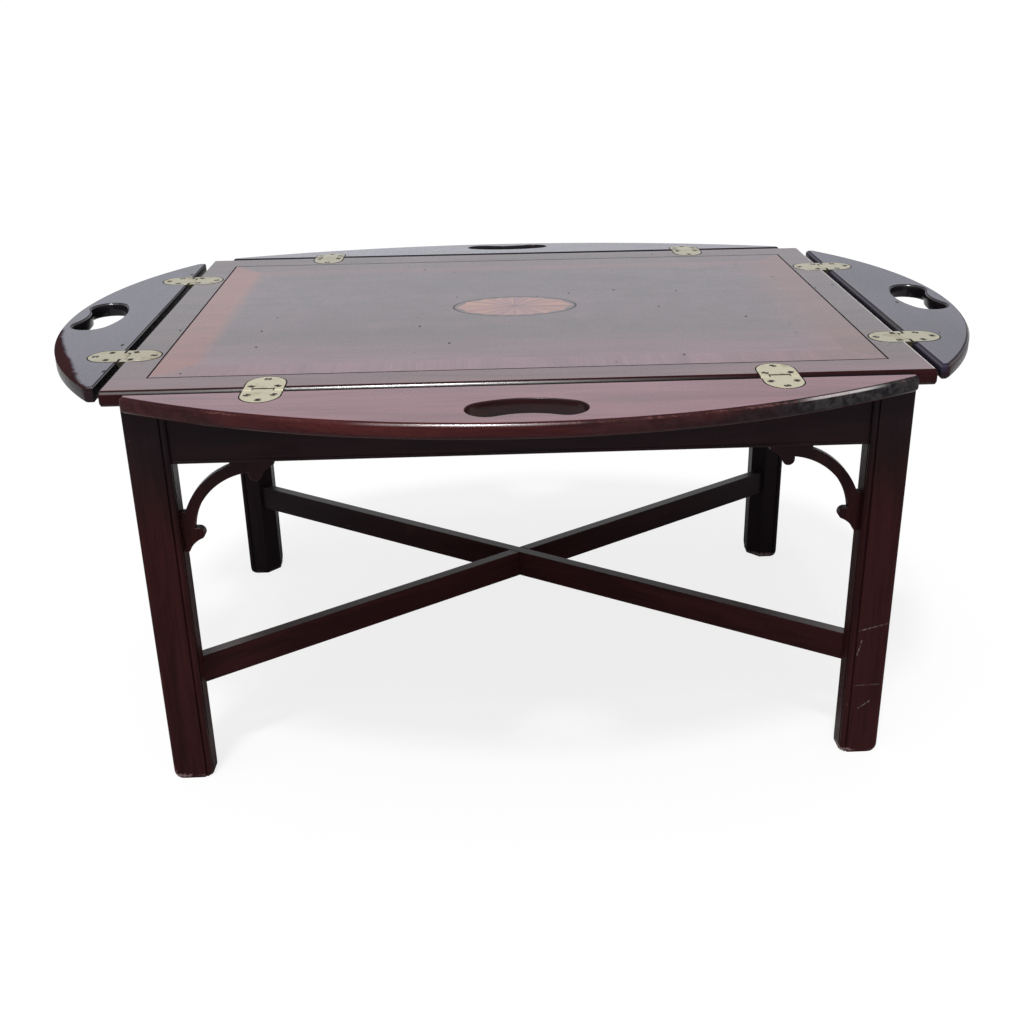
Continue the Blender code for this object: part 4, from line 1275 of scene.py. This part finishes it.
class TRAYTABLE_OT_hinges(Dressing):
    """Brass hinge plates with worn edges, and the dirt in the seats round them"""

    bl_idname = "tray_table.hinges"
    bl_label = "Hinges"

    def bead_rings(self, path, width, shape):
        """A flat oval bead carried along a path in the plan."""
        along = unit(np.gradient(path, axis=0))
        out = np.column_stack((along[:, 1], -along[:, 0]))
        turn = np.linspace(0, 2 * np.pi, SEAT_SIDES, endpoint=False)
        wide = np.cos(turn) * width / 2
        tall = np.sin(turn) * shape.lift * SEAT_RISE
        flat = path[:, None] + out[:, None] * wide[None, :, None]
        return np.concatenate((flat, np.broadcast_to(tall[None, :, None], (*flat.shape[:2], 1))), 2)

    def seat_rings(self, half, length, shape):
        """A bead along the plate's sides and round its end, from +X to -X."""
        path = arc((0, 0), 1.0, 0, 180, SEAT_STEPS) * (half, shape.end) + (0, length - shape.end)
        start = shape.seat * SEAT_START
        return self.bead_rings(np.concatenate(([(half, start)], path, [(-half, start)])), shape.seat, shape)

    def knuckle_rings(self, radius, shape):
        """Two short beads beside the ends of the middle knuckle, bent down with it on the leaf's side.

        The drop is the knuckle's radius less the height of its circle above the pin.
        """
        way = np.linspace(-radius * KNUCKLE_SHARE, shape.tray_reach / 2, CORNER_STEPS)
        lines = []
        aside = (shape.knuckle + shape.knuckle_line) / 2 + shape.lift
        for x in (-aside, aside):
            rings = self.bead_rings(np.column_stack((np.full(len(way), x), way)), shape.knuckle_line, shape)
            drop = radius - np.sqrt(radius ** 2 - np.minimum(way, 0) ** 2)
            lines.append(rings + np.stack((drop * 0, drop * 0, shape.lift - drop), -1)[:, None])
        return lines

    def execute(self, context):
        shape = settings("tray_table_hinges")
        dull = brass_metal("pin brass", "brass", clean=0.45)
        for name, turn, ends in SIDES:
            pale = brass_metal("rubbed brass", "brass", clean=0.62)
            # Painted light: the front hinges get the lighter brass
            if name == "front":
                pale = brass_metal("bright brass", "bright", clean=0.66)
            for end in ends:
                hinge = f"hinge_{name}_{end}"
                halves = hinge_halves(name, turn, end)
                for _, body, tag in halves:
                    node = f"{hinge}_{tag}_plate"
                    mesh = copied_mesh(f"brass_{node}", node, shape.lift)
                    soften(show(mesh, pale, body, [node]), shape.edge)
                pin = frame["nodes"][f"{hinge}_pin"].data
                pin.materials.clear()
                pin.materials.append(dull)
                along_tray = halves[1][0]
                plate_box = [along_tray.inverted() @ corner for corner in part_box(f"{hinge}_tray_plate")]
                half = max(abs(corner.x) for corner in plate_box)
                length = max(corner.y for corner in plate_box)
                rings = self.seat_rings(half, length, shape)
                for matrix, body, tag in halves:
                    mesh = loft_mesh(f"seat_{name}_{end}_{tag}", [placed(rings, matrix)])
                    show(mesh, grime_dirt("seat shade"), body)
                radius = TOP - leaf_matrix(name, turn).translation.z
                lines = [placed(line, along_tray) for line in self.knuckle_rings(radius, shape)]
                mesh = loft_mesh(f"knuckle_lines_{name}_{end}", lines)
                show(mesh, grime_dirt("seat shade"), "tray")
        return {"FINISHED"}


class TRAYTABLE_OT_screws(Dressing):
    """Slotted screws, three to a hinge plate"""

    bl_idname = "tray_table.screws"
    bl_label = "Screws"

    def head_rings(self, shape, slot_turn):
        """A dome over a polar grid, less a slot: low where a point lies within the slot's width.

        Height is crown times one less the squared share of the radius.
        """
        share = np.concatenate(([1.0], np.linspace(1.0, SCREW_MIDDLE, SCREW_RINGS)))[:, None]
        turn = np.linspace(0, 2 * np.pi, SCREW_TURNS, endpoint=False)[None]
        across = np.abs(share * shape.screw * np.sin(turn - slot_turn))
        slot = np.clip((shape.slot_width / 2 - across) / (shape.slot_width * SLOT_SLOPE) + 0.5, 0, 1)
        height = shape.lift + shape.crown * (1 - share ** 2) - slot * shape.slot_depth
        height[0] = -shape.slot_depth * 2
        rings = np.stack((share * shape.screw * np.cos(turn), share * shape.screw * np.sin(turn), height), -1)
        # Dark share of a head: its slot, a ring of painted shade round the rim, and dirt all over
        return rings, np.maximum(np.maximum(slot, share > SCREW_RIM), SCREW_DIRT)

    def execute(self, context):
        shape = settings("tray_table_hinges")
        material = brass_metal("screw brass", "screw", clean=0.75)
        turns = np.random.default_rng(SCREW_SEED)
        pair = shape.spacing / 2
        for name, turn, ends in SIDES:
            for end in ends:
                for matrix, body, tag in hinge_halves(name, turn, end):
                    reach = shape.leaf_reach if tag == "leaf" else shape.tray_reach
                    heads = [self.head_rings(shape, turns.uniform(0, np.pi)) for _ in range(3)]
                    spots = ((0, shape.end_reach, 0), (-pair, reach, 0), (pair, reach, 0))
                    rings = [placed(head + np.array(spot), matrix) for (head, _), spot in zip(heads, spots)]
                    dirt = np.concatenate([dirty for _, dirty in heads])
                    mesh = loft_mesh(f"screws_{name}_{end}_{tag}", rings, dirt=dirt)
                    show(mesh, material, body)
        return {"FINISHED"}


class TRAYTABLE_OT_legs(Dressing):
    """Square legs with a chamfer inside, a bead on both inner arrises and a foot with worn corners"""

    bl_idname = "tray_table.legs"
    bl_label = "Legs"

    def section(self, width, shape):
        """Half the section from the outer corner to the chamfer, then the same mirrored in the diagonal."""
        radius = shape.bead
        start = math.degrees(math.asin((radius - shape.quirk_depth) / radius))
        edge = width - radius - radius * math.cos(math.radians(start)) - shape.quirk_width
        bead = arc((width - radius, radius), radius, 180 + start, 450 - start, BEAD_STEPS)
        inner = width - edge
        corner = arc((shape.corner, shape.corner), shape.corner, 225, 270, CORNER_STEPS)
        face = np.linspace((shape.corner, 0.0), (edge, 0.0), FACE_STEPS)[1:]
        end = [(width - shape.quirk_depth, inner), (width, inner), (width, width - shape.chamfer)]
        half = np.concatenate((corner, face, [(edge, shape.quirk_depth)], bead, end))
        return np.concatenate((half, half[::-1, ::-1][:-1]))

    def execute(self, context):
        shape = settings("tray_table_stand")
        material = stand_wood("leg mahogany", ALONG_Z)
        width = LEG_HIGH.x - LEG_LOW.x
        section = self.section(width, shape)
        corner_wear = np.exp(-np.sum(section ** 2, 1) / (2 * (shape.corner * WEAR_REACH) ** 2))
        bead_reach = np.linalg.norm(np.sort(section, 1) - (0.0, width - shape.bead), axis=1)
        corner_wear = np.maximum(corner_wear, (bead_reach < shape.bead * WEAR_REACH) * LEG_BEAD_WEAR)
        turn = np.linspace(0, np.pi / 2, EASE_STEPS + 1)
        off_middle = np.abs(section * 2 / width - 1)
        corner_worn = FOOT_EDGE + (1 - FOOT_EDGE) * (off_middle[:, 0] * off_middle[:, 1]) ** FOOT_POWER
        worn_in = np.append(shape.foot * (1 - np.sin(turn)) / (width / 2), 0.0)
        shares = 1 - worn_in[:, None] * corner_worn[None]
        heights = np.append(LEG_LOW.z + shape.foot_rise * (1 - np.cos(turn)), LEG_HIGH.z)
        foot_wear = np.append(np.sin(2 * turn), 0.0)
        fading = np.append(np.ones(len(turn)), LEG_TOP_WEAR)
        centre = (LEG_LOW + LEG_HIGH) / 2
        for y_name, sign_y in (("front", -1), ("back", 1)):
            for x_name, sign_x in (("left", -1), ("right", 1)):
                flip = -1 if sign_x * sign_y < 0 else 1
                plan = (np.array(LEG_HIGH.xy) - section)[::flip] * (sign_x, sign_y)
                middle = np.array(centre.xy) * (sign_x, sign_y)
                rings = levelled(middle + (plan - middle)[None] * shares[:, ::flip, None], heights)
                wear = np.maximum(foot_wear[:, None], corner_wear[None, ::flip] * fading[:, None])
                node = f"leg_{y_name}_{x_name}"
                mesh = loft_mesh(f"beaded_{node}", [rings], wear=wear)
                show(mesh, material, "stand", [node])
        return {"FINISHED"}


class TRAYTABLE_OT_aprons(Dressing):
    """Aprons with a bead along the lower edge, from leg to leg"""

    bl_idname = "tray_table.aprons"
    bl_label = "Aprons"

    def section(self, shape, bottom, top):
        """Outwards along the first axis and up along the second, with the bead at the lower front."""
        front = -shape.apron_setback
        back = front - shape.apron_thickness
        radius = shape.apron_bead
        start = math.degrees(math.acos((radius - shape.apron_quirk_depth) / radius))
        quirk = bottom + radius * (1 + math.sin(math.radians(start))) + shape.apron_quirk
        bead = arc((front - radius, bottom + radius), radius, -90, start, BEAD_STEPS)
        face = [(front - shape.apron_quirk_depth, quirk), (front, quirk), (front, top), (back, top)]
        return np.concatenate(([(back, bottom)], bead, face))

    def execute(self, context):
        shape = settings("tray_table_stand")
        top = LEG_HIGH.z
        section = self.section(shape, top - shape.apron_height, top)
        width = LEG_HIGH.x - LEG_LOW.x
        bead_wear = (section[:, 1] < section[0, 1] + 2 * shape.apron_bead) * APRON_WEAR
        for name, turn, _ in SIDES:
            long_side = is_long(turn)
            half, reach = LEG_HIGH.xy if long_side else LEG_HIGH.yx
            half -= width
            rings = np.stack([np.column_stack((np.full(len(section), x), section)) for x in (-half, half)])
            rings = placed(rings, side_matrix(reach, turn))
            mesh = loft_mesh(f"beaded_apron_{name}", [rings], wear=bead_wear)
            label = "apron along x" if long_side else "apron along y"
            material = stand_wood(label, ALONG_X if long_side else ALONG_Y)
            show(mesh, material, "stand", [f"apron_{name}"])
        return {"FINISHED"}


class TRAYTABLE_OT_brackets(Dressing):
    """Fretted brackets: a quarter ring with a knob and a hollow tail at each end"""

    bl_idname = "tray_table.brackets"
    bl_label = "Brackets"

    def outline(self, shape):
        """Half the outline from the ring's middle down to the leg, then its mirror in the diagonal."""
        outer = shape.ring_radius + shape.ring_band
        centre = (shape.ring_centre, shape.ring_centre)
        pad = math.degrees(math.asin((shape.ring_centre - shape.pad) / outer))
        knob_top = shape.knob_drop - shape.knob
        knob_angle = math.degrees(math.asin((shape.ring_centre - knob_top) / shape.ring_radius))
        knob = arc((shape.knob_reach, shape.knob_drop), shape.knob, *KNOB_ARC, CORNER_STEPS * 3)
        tail = bow((shape.tail, shape.reach), knob[0], shape.tail_bow, CORNER_STEPS)
        half = np.concatenate((arc(centre, outer, 225, 180 + pad, RING_STEPS),
                               [(0.0, shape.pad), (0.0, shape.reach)], tail, knob[1:],
                               arc(centre, shape.ring_radius, 180 + knob_angle, 225, RING_STEPS)))
        return np.concatenate((half, half[-2:0:-1, ::-1]))

    def execute(self, context):
        shape = settings("tray_table_stand")
        material = stand_wood("bracket mahogany", ALONG_Z)
        plan = self.outline(shape)
        for name, turn, ends in SIDES:
            long_side = is_long(turn)
            for end, sign in zip(ends, (-1, 1)):
                node = f"bracket_{name}_{end}"
                low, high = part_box(node)
                along, across = (0, 1) if long_side else (1, 0)
                thickness = (high[across] - low[across]) / 2
                reach = abs(high[across] + low[across]) / 2
                half = max(abs(low[along]), abs(high[along]))
                insets, heights, worn = eased_edge(-thickness, thickness, shape.arris)
                flat = plan if sign > 0 else plan[::-1]
                rings = stacked(flat, inward(flat) * sign_of(flat), insets, heights)
                local = np.stack((sign * (half - rings[..., 0]), rings[..., 2], high.z - rings[..., 1]), -1)
                rings = placed(local, side_matrix(reach, turn))
                mesh = loft_mesh(f"fretted_{node}", [rings], wear=worn[:, None])
                show(mesh, material, "stand", [node])
        return {"FINISHED"}


class TRAYTABLE_OT_stretchers(Dressing):
    """Crossed stretchers with worn edges, halved into each other"""

    bl_idname = "tray_table.stretchers"
    bl_label = "Stretchers"

    def execute(self, context):
        shape = settings("tray_table_stand")
        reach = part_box("stretcher_over")[1]
        slant = math.atan2(reach.y, reach.x)
        for name, turn in (("over", slant), ("under", -slant)):
            node = f"stretcher_{name}"
            material = stand_wood(f"{node} mahogany", (0.0, 0.0, turn))
            mesh = copied_mesh(f"eased_{node}", node)
            soften(show(mesh, material, "stand", [node]), shape.arris)
        return {"FINISHED"}


class TRAYTABLE_OT_hidden(Dressing):
    """Corner blocks in the stand and battens under the tray"""

    bl_idname = "tray_table.hidden"
    bl_label = "Blocks and Battens"

    def execute(self, context):
        shape = settings("tray_table_stand")
        material = hidden_wood()
        pieces = [(f"batten_{x}", "tray") for x in ("left", "right")]
        pieces += [(f"corner_block_{y}_{x}", "stand") for y in ("front", "back") for x in ("left", "right")]
        for node, body in pieces:
            mesh = copied_mesh(f"planed_{node}", node)
            soften(show(mesh, material, body, [node]), shape.arris)
        return {"FINISHED"}


class TRAYTABLE_OT_stage(bpy.types.Operator):
    """Floor, light and camera"""

    bl_idname = "tray_table.stage"
    bl_label = "Stage"

    def floor_material(self, stage):
        """Pale floor, clear from below. A share is white to the camera, which keeps the shadow light."""
        floor = Surface("studio floor")
        tree = floor.tree
        shade = [value * FLOOR_SHADE for value in settings("tray_table_finishes").floor]
        floor.feed({"Base Color": floor.place.noise(3.0, 3.0).mix("floor", (*shade, 1.0)),
                    "Roughness": 1.0, "Specular IOR Level": 0.0})
        white = add(tree, "ShaderNodeEmission", {"Color": WHITE, "Strength": 1.0})
        share = add(tree, "ShaderNodeLightPath")["Is Camera Ray"] * stage.floor_white
        lit = Made(tree, tree.nodes["Principled BSDF"])
        mixed = add(tree, "ShaderNodeMixShader", {0: share, 1: lit[0], 2: white[0]})
        below = add(tree, "ShaderNodeNewGeometry")["Backfacing"]
        clear = add(tree, "ShaderNodeBsdfTransparent")
        either = add(tree, "ShaderNodeMixShader", {0: below, 1: mixed[0], 2: clear[0]})
        feed(tree, tree.nodes["Material Output"].inputs, {"Surface": either[0]})
        return floor.material

    def sky_world(self, stage):
        """White to the camera, softer as a light, and a little blue low down in reflections."""
        world = bpy.data.worlds.new("studio")
        world.use_nodes = True
        tree = world.node_tree
        path = add(tree, "ShaderNodeLightPath")
        seen = (path["Is Camera Ray"] + path["Is Glossy Ray"]).sum("ADD", path["Is Transmission Ray"], True)
        level = add(tree, "ShaderNodeMapRange", {0: seen, 1: 0.0, 2: 1.0, 3: stage.sky, 4: 1.0})
        up = add(tree, "ShaderNodeTexCoord")["Generated"].split()[2]
        hazy = up.fade(0.0, HAZE_TOP).mix((*stage.haze, 1.0), WHITE)
        feed(tree, tree.nodes["Background"].inputs,
             {"Strength": level[0], "Color": path["Is Glossy Ray"].mix(WHITE, hazy)})
        bpy.context.scene.world = world

    def sun(self, name, energy, spread, way):
        """A far lamp that fills an angle of the sky."""
        lamp = bpy.data.lights.new(name, "SUN")
        lamp.energy = energy
        lamp.angle = spread
        lamp_object = bpy.data.objects.new(name, lamp)
        lamp_object.rotation_euler = Vector(way).to_track_quat("Z", "Y").to_euler()
        bpy.context.scene.collection.objects.link(lamp_object)

    def camera(self, stage):
        """The photograph's camera: moved to its place, then turned, tilted and leant."""
        lens = bpy.data.cameras.new("photograph")
        lens.lens = stage.lens
        lens.sensor_width = SENSOR
        lens.shift_x, lens.shift_y = stage.shift
        lens.clip_start = NEAREST
        lens.clip_end = FARTHEST
        camera = bpy.data.objects.new("photograph", lens)
        camera.matrix_world = (Matrix.Translation(stage.place) @ Matrix.Rotation(stage.yaw, 4, "Z")
                               @ Matrix.Rotation(stage.pitch, 4, "X") @ Matrix.Rotation(stage.roll, 4, "Y")
                               @ Matrix.Rotation(math.pi / 2, 4, "X"))
        bpy.context.scene.collection.objects.link(camera)
        bpy.context.scene.camera = camera

    def execute(self, context):
        stage = settings("tray_table_stage")
        mesh = bpy.data.meshes.new("floor")
        corners = np.array(((-1, -1, 0), (1, -1, 0), (1, 1, 0), (-1, 1, 0)), float) * stage.floor_reach
        mesh.from_pydata(corners, [], [(0, 1, 2, 3)])
        mesh.materials.append(self.floor_material(stage))
        floor = bpy.data.objects.new("floor", mesh)
        bpy.context.scene.collection.objects.link(floor)
        self.sky_world(stage)
        self.sun("key", stage.key, stage.key_spread, stage.key_from)
        self.sun("glint", stage.glint, stage.glint_spread, stage.glint_from)
        self.camera(stage)
        context.scene.view_settings.view_transform = "Standard"
        return {"FINISHED"}


OPERATORS = (
    TRAYTABLE_OT_tray, TRAYTABLE_OT_inlay, TRAYTABLE_OT_leaves, TRAYTABLE_OT_hinges, TRAYTABLE_OT_screws,
    TRAYTABLE_OT_legs, TRAYTABLE_OT_aprons, TRAYTABLE_OT_brackets, TRAYTABLE_OT_stretchers,
    TRAYTABLE_OT_hidden, TRAYTABLE_OT_stage,
)


class TRAYTABLE_PT_panel(bpy.types.Panel):
    """The table's operators in the sidebar"""

    bl_idname = "TRAYTABLE_PT_panel"
    bl_label = "Tray Table"
    bl_space_type = "VIEW_3D"
    bl_region_type = "UI"
    bl_category = "Tray Table"

    def draw(self, context):
        for operator in OPERATORS:
            self.layout.operator(operator.bl_idname)


def register():
    for name, group in GROUPS.items():
        bpy.utils.register_class(group)
        setattr(bpy.types.Scene, name, bpy.props.PointerProperty(type=group))
    for operator in OPERATORS:
        bpy.utils.register_class(operator)
    bpy.utils.register_class(TRAYTABLE_PT_panel)


def unregister():
    bpy.utils.unregister_class(TRAYTABLE_PT_panel)
    for operator in reversed(OPERATORS):
        bpy.utils.unregister_class(operator)
    for name, group in reversed(GROUPS.items()):
        delattr(bpy.types.Scene, name)
        bpy.utils.unregister_class(group)


def main():
    """Dress the table, set the stage and write down both boxes."""
    register()
    for operator in OPERATORS:
        category, action = operator.bl_idname.split(".")
        getattr(getattr(bpy.ops, category), action)()


if __name__ == "__main__":
    main()
